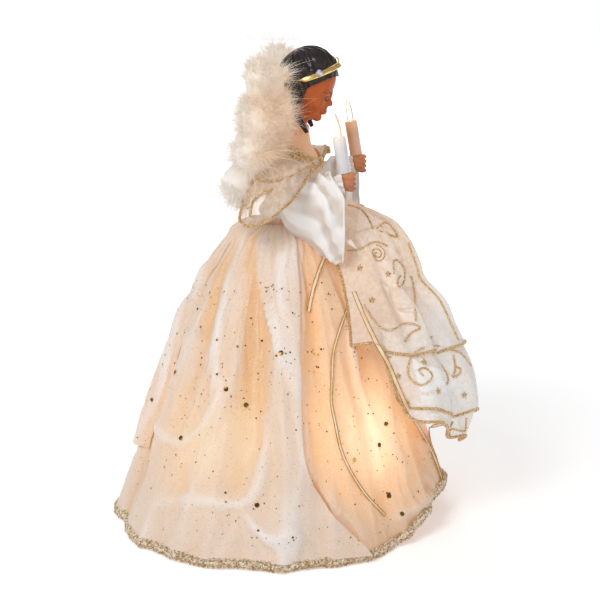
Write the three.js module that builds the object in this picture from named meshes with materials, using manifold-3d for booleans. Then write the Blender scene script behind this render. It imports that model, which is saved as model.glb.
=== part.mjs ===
// A lighted angel tree topper: a dressed doll on a hollow plastic cone, with feather wings and two candles.
// Millimetres, +Z up. The doll faces -Y and its right hand is at -X.
// The origin is the middle of the cone's foot.
import * as THREE from "three";
import { mergeVertices } from "three/addons/utils/BufferGeometryUtils.js";
import Module from "manifold-3d";

const wasm = await Module();
wasm.setup();

// Fits and stock that every sub-part shares
const seatGap = 0.3;
const slideClearance = 0.35;
const cutOverrun = 2;
const clothThickness = 1.2;
const layerGap = 1;
const layerLift = clothThickness + layerGap;

// Support cone, open at the foot for the tip of the tree
const coneHeight = 236;
const coneFootRadius = 98;
const coneTopRadius = 19.5;
const coneWall = 1.6;
const coneFlangeReach = 5;
const coneFlangeHeight = 2.4;
const coneSides = 36;

// Torso form, a bust with its neck, whose peg plugs the top of the cone
const torsoFlangeHeight = 4;
const pegLength = 14;
const waistHalfWidth = 17;
const waistHalfDepth = 16.6;
const chestHalfDepth = 18.5;
const shoulderHalfWidth = 25;
const torsoLength = 65;
const shoulderHeight = coneHeight + torsoLength;
const chestForward = 13;
const neckRadius = 8.5;
const neckLength = 28;
const neckTopHeight = shoulderHeight + neckLength;

// Head, modelled upright about the top of the neck and bowed as a whole
const headHeight = 60;
const headBow = 20;
const headForward = 13;
const hairThickness = 3.2;
const hairSeat = 1.2;
const bandWidth = 3.6;
const bandThickness = 1;
const gemRadius = 2.6;
const loopRadius = 2.6;
const loopWireRadius = 0.55;
const curlRadius = 2.8;

// Dress
const waistRise = 12;
const waistHeight = coneHeight + waistRise;
const sashHeight = 8;
const sashThickness = 2.2;
const hemRadius = 142;
const hemHeight = 1.4;
const frontHemLift = 20;
const foldDepth = 6;
const overskirtHemRaise = 10;
const overskirtEdgeLift = 6;
const backDraw = 9;
const trainEnd = 56;
const trainFlare = 4;
const braidHeight = 7;
const braidThickness = 2.4;
const necklineDip = 12;
const bodiceEase = 1.6;

// Organza cascade in front of the skirt
const cascadeRise = 14;
const cascadeTop = waistHeight + cascadeRise;
const cascadeDrop = 200;
const cascadeReach = 160;
const cascadeSkirtClearance = 6;
const cascadeRuffle = 3.5;
const cascadeLift = 2;

// Arms, measured on the right arm at -X
const shoulderPivotDrop = 9;
const shoulderPivotHeight = shoulderHeight - shoulderPivotDrop;
const shoulderPivotForward = 12;
const armRadius = 4.2;
const elbowDrop = 12;
const handSpread = 43;
const handForward = 57;
const handDrop = 3;
const handHeight = shoulderPivotHeight - handDrop;
const fistHeight = 17;
const fistWidth = 12.5;
const fistDepth = 15;
const sleeveMouthHeight = 72;
const sleeveMouthWidth = 27;
const sleeveMouthForward = 46;
const sleeveMouthLead = 11;
const sleeveSag = 4;
const drapeReach = 66;
const drapeRuffle = 1.5;

// Candles, each a white tube with a push-in lamp
const candleRadius = 5.2;
const candleLength = 28.5;
const candleWall = 1;
const candleFloor = 2;
const candleLean = 10;
const candlePegRadius = 2.6;
const candlePegLength = 10;
const plugLength = 11;
const glassRadius = 2.9;
const glassLength = 20.5;

// Lamps of the light string inside the skirt
const holderRadius = 4;
const holderInside = 9;
const holderOutside = 3;
const holderFlangeReach = 1.6;
const holderFlangeThickness = 1.5;
const lampRadius = 2.9;
const lampLength = 16;
const lampPlugRadius = 2.2;
const wireRadius = 0.8;
const lowerLamps = { count: 5, height: 78, first: 43 };
const upperLamps = { count: 3, height: 155, first: 79 };

// Wings, measured on the right wing in the plane of its card
const wingRootDrop = 1;
const wingRootHeight = shoulderHeight - wingRootDrop;
const wingRootSide = 9;
const wingSweep = 30;
const wingPitch = 15;
const wingSpan = 70;
const wingRise = 96;
const wingCardThickness = 1.4;
const yokeThickness = 3;
const yokeHeight = 20;

const turn = 2 * Math.PI;
const radians = THREE.MathUtils.degToRad;
const mix = THREE.MathUtils.lerp;
const smooth = (from, to, at) => THREE.MathUtils.smoothstep(at, from, to);
const vector = (x, y, z) => new THREE.Vector3(x, y, z);

// The height of a smooth curve through a table of [position, value] pairs
function curve(table, at) {
  const last = table.length - 1;
  const slope = (i) => {
    const before = table[Math.max(i - 1, 0)];
    const after = table[Math.min(i + 1, last)];
    return (after[1] - before[1]) / (after[0] - before[0]);
  };
  if (at <= table[0][0]) return table[0][1];
  if (at >= table[last][0]) return table[last][1];
  const i = table.findIndex((pair) => pair[0] > at) - 1;
  const span = table[i + 1][0] - table[i][0];
  const t = (at - table[i][0]) / span;
  const rise = table[i + 1][1] - table[i][1];
  const start = slope(i) * span;
  const end = slope(i + 1) * span;
  const bend = t * t * (3 * rise - 2 * start - end);
  return table[i][1] + t * start + bend + t * t * t * (start + end - 2 * rise);
}

// A geometry from corners and triangles, turned so that its faces point outwards
function bodyOf(points, triangles) {
  let volume = 0;
  for (const [a, b, c] of triangles) {
    volume += points[a].dot(points[b].clone().cross(points[c]));
  }
  const index = triangles.flatMap(([a, b, c]) => (volume < 0 ? [a, c, b] : [a, b, c]));
  const body = new THREE.BufferGeometry().setFromPoints(points);
  body.setIndex(index);
  body.computeVertexNormals();
  return body;
}

// Joins a ring of corners to the next one
function bridge(triangles, from, to, count, closed = true) {
  for (let i = 0; i < (closed ? count : count - 1); i += 1) {
    const next = (i + 1) % count;
    triangles.push([from + i, from + next, to + next], [from + i, to + next, to + i]);
  }
}

// A solid through rings of equal count, with a fan over each end unless it closes on itself
function ringBody(rings, looped = false) {
  const count = rings[0].length;
  const points = rings.flat();
  const triangles = [];
  for (let i = 0; i + 1 < rings.length; i += 1) bridge(triangles, i * count, (i + 1) * count, count);
  if (looped) {
    bridge(triangles, (rings.length - 1) * count, 0, count);
    return bodyOf(points, triangles);
  }
  for (const [ring, start] of [[rings[0], 0], [rings[rings.length - 1], (rings.length - 1) * count]]) {
    const middle = ring.reduce((sum, p) => sum.add(p), vector(0, 0, 0)).divideScalar(count);
    const pole = points.push(middle) - 1;
    for (let i = 0; i < count; i += 1) {
      const next = (i + 1) % count;
      triangles.push(start === 0 ? [pole, start + next, start + i] : [pole, start + i, start + next]);
    }
  }
  return bodyOf(points, triangles);
}

// A sheet of even thickness that follows place(u, v), lifted off it by lift(u, v)
function sheetBody({ place, us, vs, lift = () => 0, closed = false, thickness = clothThickness }) {
  const step = 1e-3;
  const corner = (u, v, side) => {
    const along = place(u + step, v).sub(place(u - step, v));
    const down = place(u, v + step).sub(place(u, v - step));
    const normal = along.cross(down).normalize();
    return place(u, v).addScaledVector(normal, lift(u, v) + (side * thickness) / 2);
  };
  const front = vs.map((v) => us.map((u) => corner(u, v, 1)));
  const back = vs.map((v) => us.map((u) => corner(u, v, -1)));
  if (closed) return ringBody([...front, ...back.reverse()], true);
  const rings = vs.map((v, row) => [...front[row], ...back[row].reverse()]);
  const count = us.length;
  const points = rings.flat();
  const triangles = [];
  const around = 2 * count;
  for (let i = 0; i + 1 < rings.length; i += 1) bridge(triangles, i * around, (i + 1) * around, around);
  const last = 2 * count * (rings.length - 1);
  for (let i = 0; i + 1 < count; i += 1) {
    const [a, b, c, d] = [i, i + 1, 2 * count - 2 - i, 2 * count - 1 - i];
    triangles.push([a, c, b], [a, d, c]);
    triangles.push([last + a, last + b, last + c], [last + a, last + c, last + d]);
  }
  return bodyOf(points, triangles);
}

// A round bar along a route, with its ends square to it
function barAlong(points, radius, steps, sides = 8) {
  const section = new THREE.Shape();
  section.absarc(0, 0, radius, 0, turn);
  const route = new THREE.CatmullRomCurve3(points, false, "centripetal");
  // A whole circle is drawn with two sides for each segment
  const curveSegments = sides / 2;
  const options = { extrudePath: route, steps, curveSegments, bevelEnabled: false };
  return new THREE.ExtrudeGeometry(section, options);
}

// A turned piece along +Z from [radius, height] pairs that start and end on the axis
function turned(profile, sides) {
  const outline = profile.map(([radius, height]) => new THREE.Vector2(radius, height));
  return new THREE.LatheGeometry(outline, sides).rotateX(Math.PI / 2);
}

// Merged masses: each is a middle, three radii and a weight, and they swell into one smooth skin
function swell(masses, point) {
  let sum = 0;
  for (const { middle, radii, weight = 1 } of masses) {
    const reach = point.clone().sub(middle).divide(radii).lengthSq();
    sum += weight * Math.exp(5 * (1 - reach));
  }
  return sum - 1;
}

// How far the skin lies from an inner point in a direction
function skinDistance(masses, from, direction, farthest) {
  let near = 0;
  let far = farthest;
  for (let i = 0; i < 24; i += 1) {
    const middle = (near + far) / 2;
    const inside = swell(masses, from.clone().addScaledVector(direction, middle)) > 0;
    if (inside) near = middle;
    else far = middle;
  }
  return near;
}

// A closed skin round the masses, as seen from an inner point
function skinBody(masses, from, farthest, columns, rows) {
  const rings = [];
  for (let j = 1; j < rows; j += 1) {
    const tilt = (Math.PI * j) / rows;
    const ring = [];
    for (let i = 0; i < columns; i += 1) {
      const heading = (turn * i) / columns;
      const flat = Math.sin(tilt);
      const direction = vector(flat * Math.sin(heading), -flat * Math.cos(heading), Math.cos(tilt));
      ring.push(from.clone().addScaledVector(direction, skinDistance(masses, from, direction, farthest)));
    }
    rings.push(ring);
  }
  return ringBody(rings);
}

// Cuts and joins
function solidOf(geometry) {
  const bare = geometry.clone();
  bare.deleteAttribute("normal");
  bare.deleteAttribute("uv");
  const merged = mergeVertices(bare);
  const triVerts = Uint32Array.from(merged.index.array);
  const vertProperties = merged.attributes.position.array;
  return new wasm.Manifold(new wasm.Mesh({ numProp: 3, vertProperties, triVerts }));
}

function geometryOf(solid) {
  const mesh = solid.getMesh();
  const geometry = new THREE.BufferGeometry();
  geometry.setAttribute("position", new THREE.BufferAttribute(mesh.vertProperties, 3));
  geometry.setIndex(new THREE.BufferAttribute(mesh.triVerts, 1));
  geometry.computeVertexNormals();
  return geometry;
}

// A copy across the middle of the figure when the sign is negative, with its faces turned back
function mirrored(geometry, sign) {
  if (sign > 0) return geometry;
  const merged = geometry.index ? geometry.clone() : mergeVertices(geometry);
  merged.applyMatrix4(new THREE.Matrix4().makeScale(-1, 1, 1));
  const index = merged.index.array;
  for (let i = 0; i < index.length; i += 3) [index[i + 1], index[i + 2]] = [index[i + 2], index[i + 1]];
  return merged;
}

// Materials
const material = (color, roughness, metalness = 0) =>
  new THREE.MeshStandardMaterial({ color, roughness, metalness });
const whitePlastic = material(0xf3efe8, 0.45);
const candleWhite = material(0xf6f4f1, 0.35);
const skin = material(0x7d4326, 0.4);
const darkHair = material(0x17110f, 0.3);
const gold = material(0xd6a944, 0.35, 1);
const goldBraid = material(0xc9a55c, 0.5, 0.6);
const satin = material(0xf4e3cd, 0.4);
const glitterCloth = material(0xf3e6d3, 0.6);
const whiteSatin = material(0xf7f5f3, 0.35);
const organza = material(0xf3ead8, 0.5);
const feathers = material(0xf8f1e6, 0.95);
const lilacGlass = material(0xb9aee0, 0.1);
const clearGlass = material(0xffe9c4, 0.05);
const wireCream = material(0xe9e4d8, 0.6);

const figure = new THREE.Group();

function addMesh(parent, name, geometry, look) {
  const mesh = new THREE.Mesh(geometry, look);
  mesh.name = name;
  parent.add(mesh);
  return mesh;
}

const bothSides = [
  { side: "right", sign: -1 },
  { side: "left", sign: 1 },
];

// A place on the figure from an angle, 0 at the front and a quarter turn at its right side
const around = (angle, radius, height) =>
  vector(-radius * Math.sin(angle), -radius * Math.cos(angle), height);

// Support cone
const coneOuterRadius = (height) => mix(coneFootRadius, coneTopRadius, height / coneHeight);

// The angle by which the cone's wall leans in from the upright
const coneLean = Math.atan2(coneFootRadius - coneTopRadius, coneHeight);

function lampFrames() {
  const frames = [];
  for (const { count, height, first } of [lowerLamps, upperLamps]) {
    for (let i = 0; i < count; i += 1) {
      const angle = radians(first) + (turn * i) / count;
      const out = around(angle, Math.cos(coneLean), Math.sin(coneLean));
      const frame = new THREE.Object3D();
      frame.position.copy(around(angle, coneOuterRadius(height), height));
      frame.quaternion.setFromUnitVectors(vector(0, 0, 1), out);
      frame.updateMatrixWorld();
      frames.push(frame);
    }
  }
  return frames;
}

function supportCone() {
  const wall = turned(
    [
      [coneFootRadius - coneWall, 0],
      [coneFootRadius + coneFlangeReach, 0],
      [coneFootRadius + coneFlangeReach, coneFlangeHeight],
      [coneOuterRadius(coneFlangeHeight), coneFlangeHeight],
      [coneTopRadius, coneHeight],
      [coneTopRadius - coneWall, coneHeight],
      [coneFootRadius - coneWall, 0],
    ],
    coneSides,
  );
  let solid = solidOf(wall);
  for (const frame of lampFrames()) {
    const drill = new THREE.CylinderGeometry(
      holderRadius + seatGap,
      holderRadius + seatGap,
      coneWall + 2 * cutOverrun,
      10,
    ).rotateX(Math.PI / 2);
    drill.applyMatrix4(frame.matrixWorld);
    solid = solid.subtract(solidOf(drill));
  }
  return geometryOf(solid);
}

function lampHolder() {
  const boreRadius = lampPlugRadius + slideClearance;
  const flangeRadius = holderRadius + holderFlangeReach;
  const wallSag = flangeRadius ** 2 / (2 * coneOuterRadius(upperLamps.height));
  const flangeTop = -coneWall - seatGap - wallSag;
  return turned(
    [
      [0, -holderInside],
      [holderRadius, -holderInside],
      [holderRadius, flangeTop - holderFlangeThickness],
      [flangeRadius, flangeTop - holderFlangeThickness],
      [flangeRadius, flangeTop],
      [holderRadius, flangeTop],
      [holderRadius, holderOutside],
      [boreRadius, holderOutside],
      [boreRadius, -holderInside / 2],
      [0, -holderInside / 2],
    ],
    8,
  );
}

function skirtLamp() {
  const seat = holderOutside + seatGap;
  return turned(
    [
      [0, -holderInside / 2 + seatGap],
      [lampPlugRadius, -holderInside / 2 + seatGap],
      [lampPlugRadius, seat],
      [lampRadius, seat],
      [lampRadius, seat + 0.55 * lampLength],
      [0.7 * lampRadius, seat + 0.8 * lampLength],
      [0, seat + lampLength],
    ],
    8,
  );
}

// The string's wire runs round behind the holders of one ring and climbs to the next
function lightString() {
  const behind = holderInside + seatGap + wireRadius;
  const points = [];
  const stepsPerRing = 18;
  for (const { height, first } of [lowerLamps, upperLamps]) {
    const radius = coneOuterRadius(height) - behind * Math.cos(coneLean);
    for (let i = 0; i <= stepsPerRing; i += 1) {
      const angle = radians(first) + (0.94 * turn * i) / stepsPerRing;
      points.push(around(angle, radius, height - behind * Math.sin(coneLean)));
    }
  }
  return barAlong(points, wireRadius, 40, 6);
}

addMesh(figure, "inner_cone", supportCone(), whitePlastic);
lampFrames().forEach((frame, i) => {
  for (const [name, geometry, look] of [
    ["skirt_lamp_holder_", lampHolder(), wireCream],
    ["skirt_lamp_", skirtLamp(), clearGlass],
  ]) {
    const piece = addMesh(figure, name + (i + 1), geometry, look);
    piece.position.copy(frame.position);
    piece.quaternion.copy(frame.quaternion);
  }
});
addMesh(figure, "light_string", lightString(), wireCream);

// Torso form: half width, half depth and forward shift at a height above the cone
const torsoFoot = coneHeight + seatGap;
const torsoRise = shoulderHeight - torsoFoot;
const torsoHeightOf = (share) => torsoFoot + share * torsoRise;
const torsoWidths = [
  [torsoHeightOf(0), waistHalfWidth],
  [torsoHeightOf(0.4), 1.1 * waistHalfWidth],
  [torsoHeightOf(0.75), 0.9 * shoulderHalfWidth],
  [torsoHeightOf(1), shoulderHalfWidth],
  [torsoHeightOf(1.09), 0.78 * shoulderHalfWidth],
  [torsoHeightOf(1.2), 1.3 * neckRadius],
  [torsoHeightOf(1.3), neckRadius],
  [neckTopHeight, neckRadius],
];
const torsoDepths = [
  [torsoHeightOf(0), waistHalfDepth],
  [torsoHeightOf(0.4), waistHalfDepth],
  [torsoHeightOf(0.78), chestHalfDepth],
  [torsoHeightOf(1), 0.8 * chestHalfDepth],
  [torsoHeightOf(1.15), 1.2 * neckRadius],
  [torsoHeightOf(1.3), neckRadius],
  [neckTopHeight, neckRadius],
];
const torsoShifts = [
  [torsoHeightOf(0), 0],
  [torsoHeightOf(0.2), 0],
  [torsoHeightOf(0.45), -0.35 * chestForward],
  [torsoHeightOf(0.78), -chestForward],
  [torsoHeightOf(1.1), -chestForward],
  [neckTopHeight, -headForward],
];

function onTorso(angle, height) {
  const place = around(angle, 1, height);
  place.x *= curve(torsoWidths, height);
  place.y = place.y * curve(torsoDepths, height) + curve(torsoShifts, height);
  return place;
}

const torsoRing = (height, count) =>
  Array.from({ length: count }, (_, i) => onTorso((turn * i) / count, height));

function torsoForm() {
  const pegRadius = coneTopRadius - coneWall - 2 * slideClearance;
  const pegTip = torsoFoot - pegLength;
  const count = 18;
  const circle = (radius, height) =>
    Array.from({ length: count }, (_, i) => around((turn * i) / count, radius, height));
  const rings = [circle(0.8 * pegRadius, pegTip), circle(pegRadius, pegTip + pegLength / 4)];
  rings.push(circle(pegRadius, torsoFoot));
  rings.push(circle(coneTopRadius, torsoFoot), circle(coneTopRadius, torsoFoot + torsoFlangeHeight));
  for (const share of [0.07, 0.25, 0.45, 0.65, 0.82, 0.95, 1.02, 1.09, 1.16, 1.24]) {
    rings.push(torsoRing(torsoHeightOf(share), count));
  }
  rings.push(torsoRing(neckTopHeight - neckRadius / 2, count));
  const neckEnd = torsoRing(neckTopHeight, count);
  rings.push(neckEnd.map((place) => place.applyMatrix4(aboutNeck(headBow))));
  return ringBody(rings);
}

// Turns a place about the top of the neck, as the head is bowed
function aboutNeck(angle) {
  const back = new THREE.Matrix4().makeTranslation(0, headForward, -neckTopHeight);
  const bow = new THREE.Matrix4().makeRotationX(radians(angle));
  const out = new THREE.Matrix4().makeTranslation(0, -headForward, neckTopHeight);
  return out.multiply(bow).multiply(back);
}

addMesh(figure, "torso_form", torsoForm(), skin);

// Bodice, from the waist to a neckline that dips at the front
const bodiceFoot = torsoFoot + torsoFlangeHeight + seatGap;
const necklineHeight = torsoHeightOf(1.14);
const necklineAt = (angle) => necklineHeight - necklineDip * ((1 + Math.cos(angle)) / 2) ** 3;
const onBodice = (angle, share) => onTorso(angle, mix(bodiceFoot, necklineAt(angle), share));
const bodiceLift = bodiceEase + clothThickness / 2;
const ringShares = (count) => Array.from({ length: count }, (_, i) => i / count);
const evenShares = (count) => Array.from({ length: count + 1 }, (_, i) => i / count);

addMesh(
  figure,
  "bodice",
  sheetBody({
    place: (u, v) => onBodice(-turn * u, v),
    us: ringShares(18),
    vs: [0, 0.25, 0.5, 0.7, 0.84, 0.93, 1],
    lift: () => bodiceLift,
    closed: true,
  }),
  satin,
);

// A flat trim bent round a closed line, at its own lift from the body below
function trimRing({ place, outward, height, thickness, count }) {
  const rings = ringShares(count).map((u) => {
    const middle = place(u);
    const out = outward(u);
    const up = vector(0, 0, 1).addScaledVector(out, -out.z).normalize();
    return [0, 60, 120, 180, 240, 300].map((corner) => {
      const angle = radians(corner + 30);
      return middle
        .clone()
        .addScaledVector(up, (height / 2) * Math.cos(angle))
        .addScaledVector(out, (thickness / 2) * Math.sin(angle));
    });
  });
  return ringBody(rings, true);
}

// The direction that leaves the torso square to its skin
function torsoNormal(angle, height) {
  const small = seatGap / 10;
  const along = onTorso(angle + small / neckRadius, height).sub(onTorso(angle - small / neckRadius, height));
  const up = onTorso(angle, height + small).sub(onTorso(angle, height - small));
  return up.cross(along).normalize();
}

const bodiceFace = bodiceLift + clothThickness / 2 + seatGap;

function waistSash() {
  const middle = waistHeight + 2 * layerLift + clothThickness + seatGap + sashHeight / 2;
  return trimRing({
    place: (u) => {
      const out = torsoNormal(turn * u, middle);
      return onTorso(turn * u, middle).addScaledVector(out, bodiceFace + seatGap + sashThickness / 2);
    },
    outward: (u) => torsoNormal(turn * u, middle),
    height: sashHeight,
    thickness: sashThickness,
    count: 20,
  });
}

function necklineBraid() {
  const heightAt = (angle) => necklineAt(angle) - 0.15 * braidHeight;
  return trimRing({
    place: (u) => {
      const angle = turn * u;
      const out = torsoNormal(angle, heightAt(angle));
      return onTorso(angle, heightAt(angle)).addScaledVector(out, bodiceFace + braidThickness / 2);
    },
    outward: (u) => torsoNormal(turn * u, heightAt(turn * u)),
    height: 0.7 * braidHeight,
    thickness: braidThickness,
    count: 24,
  });
}

addMesh(figure, "waist_sash", waistSash(), satin);
addMesh(figure, "neckline_braid", necklineBraid(), goldBraid);

// Skirt: shares of the drop and of the flare from the waist to the hem
const waistRadius = waistHalfWidth * 1.04 + bodiceFace + clothThickness;
const skirtFlareShares = [
  [0, 0],
  [0.024, 0.14],
  [0.06, 0.21],
  [0.194, 0.42],
  [0.29, 0.53],
  [0.435, 0.635],
  [0.62, 0.757],
  [0.8, 0.85],
  [0.9, 0.93],
  [1, 1],
];
const foldDepthShares = [
  [0, 0],
  [0.05, 0.2],
  [0.15, 0.6],
  [0.4, 1],
  [0.8, 0.9],
  [1, 0.6],
];
// The hem's reach as a share of its radius, by the way round from the front in turns
const hemReachShares = [
  [0, 0.96],
  [0.08, 0.95],
  [0.14, 0.98],
  [0.175, 1.01],
  [0.21, 0.99],
  [0.24, 1.02],
  [0.295, 1.045],
  [0.366, 1.045],
  [0.43, 1],
  [0.5, 0.985],
];
const skirtColumns = 52;

const gather = (angle) =>
  0.6 * Math.cos(13 * angle + 0.5) + 0.28 * Math.cos(8 * angle + 2.1) + 0.12 * Math.cos(5 * angle);

const hemAt = (angle) => hemHeight + frontHemLift * smooth(0.75, 1, Math.cos(angle));

function onSkirt(angle, share) {
  const down = Math.max(share, 0);
  const drop = down ** 1.5;
  const turned = Math.abs(Math.atan2(Math.sin(angle), Math.cos(angle))) / turn;
  const reach = mix(1, curve(hemReachShares, turned), smooth(0.45, 1, down));
  const draw = backDraw * smooth(0.75, 0.97, -Math.cos(angle)) * Math.sin(Math.PI * Math.min(down, 1) ** 0.8);
  const radius = reach * mix(waistRadius, hemRadius, curve(skirtFlareShares, drop)) - draw;
  const height = mix(waistHeight, hemAt(angle), drop);
  const depth = foldDepth * curve(foldDepthShares, drop);
  return around(angle, radius + depth * gather(angle), height - Math.min(share, 0));
}

const skirtPlace = (u, v) => onSkirt(turn * u, v);
const skirtRows = evenShares(8);

function skirtPanel(fromColumn, toColumn, lastRow, lift) {
  const us = [];
  for (let i = fromColumn; i <= toColumn; i += 1) us.push(i / skirtColumns);
  const vs = skirtRows.filter((v) => v < lastRow - 0.02);
  return sheetBody({ place: skirtPlace, us, vs: [...vs, lastRow], lift });
}

// The share at which a panel over the skirt ends, at a height above the foot
const shareAtHeight = (height) => ((waistHeight - height) / (waistHeight - hemHeight)) ** (1 / 1.5);

const overskirtEdge = 10;
const trainEdge = 22;
const overskirtEnd = shareAtHeight(hemHeight + overskirtHemRaise);

addMesh(
  figure,
  "skirt",
  sheetBody({
    place: skirtPlace,
    us: ringShares(skirtColumns),
    vs: skirtRows,
    closed: true,
  }),
  satin,
);

addMesh(
  figure,
  "overskirt",
  skirtPanel(overskirtEdge, skirtColumns - overskirtEdge, overskirtEnd, (u, v) => {
    const columnsIn = Math.min(u, 1 - u) * skirtColumns - overskirtEdge;
    const lip = overskirtEdgeLift * Math.max(0, 1 - columnsIn / 2) * smooth(0.08, 0.3, v);
    return layerLift + lip;
  }),
  glitterCloth,
);

addMesh(
  figure,
  "train",
  skirtPanel(trainEdge, skirtColumns - trainEdge, shareAtHeight(trainEnd), (u, v) => {
    return 2 * layerLift + trainFlare * smooth(0.35, 0.85, v);
  }),
  glitterCloth,
);

function hemBraid() {
  const rise = braidHeight / 2 + clothThickness / 2;
  const place = (angle) => {
    const low = onSkirt(angle, 1);
    const high = onSkirt(angle, skirtRows[7]);
    return low.lerp(high, rise / (high.z - low.z));
  };
  const outward = (angle) => around(angle, 1, 0.35).normalize();
  return trimRing({
    place: (u) => {
      const angle = turn * u;
      const lift = clothThickness / 2 + 2 * seatGap + braidThickness / 2;
      return place(angle).addScaledVector(outward(angle), lift);
    },
    outward: (u) => outward(turn * u),
    height: braidHeight,
    thickness: braidThickness,
    count: skirtColumns,
  });
}

addMesh(figure, "hem_braid", hemBraid(), goldBraid);

// Cascade: the line of its middle as shares of its reach and its drop, and its spread in degrees
const cascadeLineShares = [
  [0, 0.15, 0.035],
  [0.08, 0.24, 0],
  [0.18, 0.33, 0.004],
  [0.28, 0.46, 0.05],
  [0.38, 0.6, 0.14],
  [0.46, 0.68, 0.24],
  [0.54, 0.72, 0.31],
  [0.62, 0.81, 0.4],
  [0.72, 0.87, 0.51],
  [0.82, 0.97, 0.64],
  [0.92, 1, 0.82],
  [1, 0.93, 0.96],
];
const cascadeReaches = cascadeLineShares.map(([at, reach]) => [at, reach * cascadeReach]);
const cascadeHeights = cascadeLineShares.map(([at, , drop]) => [at, cascadeTop - drop * cascadeDrop]);
const cascadeSpreads = [
  [0, 36],
  [0.35, 34],
  [0.62, 45],
  [0.84, 33],
  [1, 18],
];
const sashFace = waistHalfWidth * 1.04 + bodiceFace + sashThickness + 2 * seatGap;

// The skirt's radius where it is widest, at a height
function skirtReach(height) {
  const drop = THREE.MathUtils.clamp((waistHeight - height) / (waistHeight - hemHeight), 0, 1);
  const folds = foldDepth * curve(foldDepthShares, drop);
  return mix(waistRadius, hemRadius, curve(skirtFlareShares, drop)) + folds;
}

function onCascade(across, down) {
  const height = curve(cascadeHeights, down);
  const middle = curve(cascadeReaches, down);
  const resting = Math.max(skirtReach(height) + cascadeSkirtClearance, sashFace + clothThickness);
  const settled = smooth(0, 0.3, down);
  const edge = mix(middle, Math.min(middle, resting), settled);
  const ruffle = cascadeRuffle * settled * Math.cos(3.5 * Math.PI * across + 0.6);
  const radius = mix(middle, edge, across * across) + ruffle;
  return around(-radians(curve(cascadeSpreads, down)) * across, radius, height);
}

function cascadeTier(from, to, layer, rows) {
  return sheetBody({
    place: (u, v) => onCascade(2 * u - 1, v),
    us: evenShares(12),
    vs: evenShares(rows).map((v) => mix(from, to, v)),
    lift: () => layer * cascadeLift,
  });
}

addMesh(figure, "cascade_upper", cascadeTier(0, 0.66, 0, 10), organza);
addMesh(figure, "cascade_lower", cascadeTier(0.6, 0.9, -1, 5), organza);
addMesh(figure, "cascade_tail", cascadeTier(0.84, 1, -2, 3), organza);

// Shoulder drapes: from the bodice over the upper arm to a low outer edge
const drapeAngles = [34, 112];
const drapeEdgeShares = [
  [0, 0.42, -0.52, 0.995],
  [0.15, 0.72, -0.46, 0.99],
  [0.32, 0.98, -0.34, 0.935],
  [0.6, 1.02, 0, 0.868],
  [0.85, 0.95, 0.18, 0.865],
  [1, 0.72, 0.12, 0.93],
];

function onDrape(sign, across, down) {
  const angle = radians(mix(drapeAngles[0], drapeAngles[1], across));
  const height = mix(bodiceFoot, necklineAt(angle), 0.9);
  const lift = bodiceFace + clothThickness / 4;
  const start = onTorso(angle, height).addScaledVector(torsoNormal(angle, height), lift);
  const column = (index) => curve(drapeEdgeShares.map((row) => [row[0], row[index]]), across);
  const end = vector(-column(1) * drapeReach, column(2) * drapeReach, column(3) * shoulderHeight);
  const crest = vector(mix(start.x, end.x, 0.95), mix(start.y, end.y, 0.6), start.z + 0.24 * drapeReach);
  const place = start.multiplyScalar((1 - down) ** 2);
  place.addScaledVector(crest, 2 * down * (1 - down)).addScaledVector(end, down * down);
  place.x *= -sign;
  return place;
}

for (const { side, sign } of bothSides) {
  addMesh(
    figure,
    "shoulder_drape_" + side,
    sheetBody({
      place: (u, v) => onDrape(sign, u, v),
      us: evenShares(11),
      vs: evenShares(6),
      lift: (u, v) => drapeRuffle * Math.sin(6 * Math.PI * u) * smooth(0.3, 1, v),
    }),
    organza,
  );
}

// Head, in its own frame: middles, radii and weights of its masses as shares of the head's height
const headMassShares = [
  { name: "skull", at: [0, 0.07, 0.6], reach: [0.29, 0.35, 0.36] },
  { name: "face", at: [0, -0.07, 0.38], reach: [0.235, 0.2, 0.26] },
  { name: "forehead", at: [0, -0.12, 0.66], reach: [0.22, 0.14, 0.17] },
  { name: "neck_stub", at: [0, 0.02, 0.06], reach: [0.13, 0.13, 0.16] },
  { name: "jaw", at: [0, -0.05, 0.2], reach: [0.17, 0.17, 0.12] },
  { name: "chin", at: [0, -0.2, 0.155], reach: [0.075, 0.07, 0.06] },
  { name: "mouth", at: [0, -0.235, 0.25], reach: [0.085, 0.055, 0.05] },
  { name: "nose", at: [0, -0.29, 0.38], reach: [0.045, 0.065, 0.055] },
  { name: "nose_bridge", at: [0, -0.245, 0.47], reach: [0.035, 0.055, 0.11] },
  { name: "cheek_right", at: [-0.14, -0.15, 0.37], reach: [0.09, 0.09, 0.1] },
  { name: "cheek_left", at: [0.14, -0.15, 0.37], reach: [0.09, 0.09, 0.1] },
];
const headMasses = headMassShares.map(({ at, reach }) => ({
  middle: vector(...at).multiplyScalar(headHeight),
  radii: vector(...reach).multiplyScalar(headHeight),
}));
const headMiddle = vector(0, 0, 0.45 * headHeight);
const headSkin = (direction) => skinDistance(headMasses, headMiddle, direction, headHeight);

const head = new THREE.Group();
head.position.set(0, -headForward, neckTopHeight);
head.rotation.x = radians(headBow);
figure.add(head);

function headBody() {
  const whole = solidOf(skinBody(headMasses, headMiddle, headHeight, 26, 22));
  const neckSeat = new THREE.BoxGeometry(headHeight, headHeight, headHeight);
  neckSeat.translate(0, 0, seatGap - headHeight / 2);
  return geometryOf(whole.subtract(solidOf(neckSeat)));
}

addMesh(head, "head", headBody(), skin);

// Directions about an axis that leans back from the top of the head by a tilt
function aboutCrown(tilt, heading, spread) {
  const direction = vector(
    Math.sin(spread) * Math.sin(heading),
    -Math.sin(spread) * Math.cos(heading),
    Math.cos(spread),
  );
  return direction.applyAxisAngle(vector(1, 0, 0), -tilt);
}

const crownTilt = radians(42);
const hairlineDegrees = [
  [0, 84],
  [0.7, 80],
  [1.4, 88],
  [2.2, 104],
  [Math.PI, 102],
];

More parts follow.
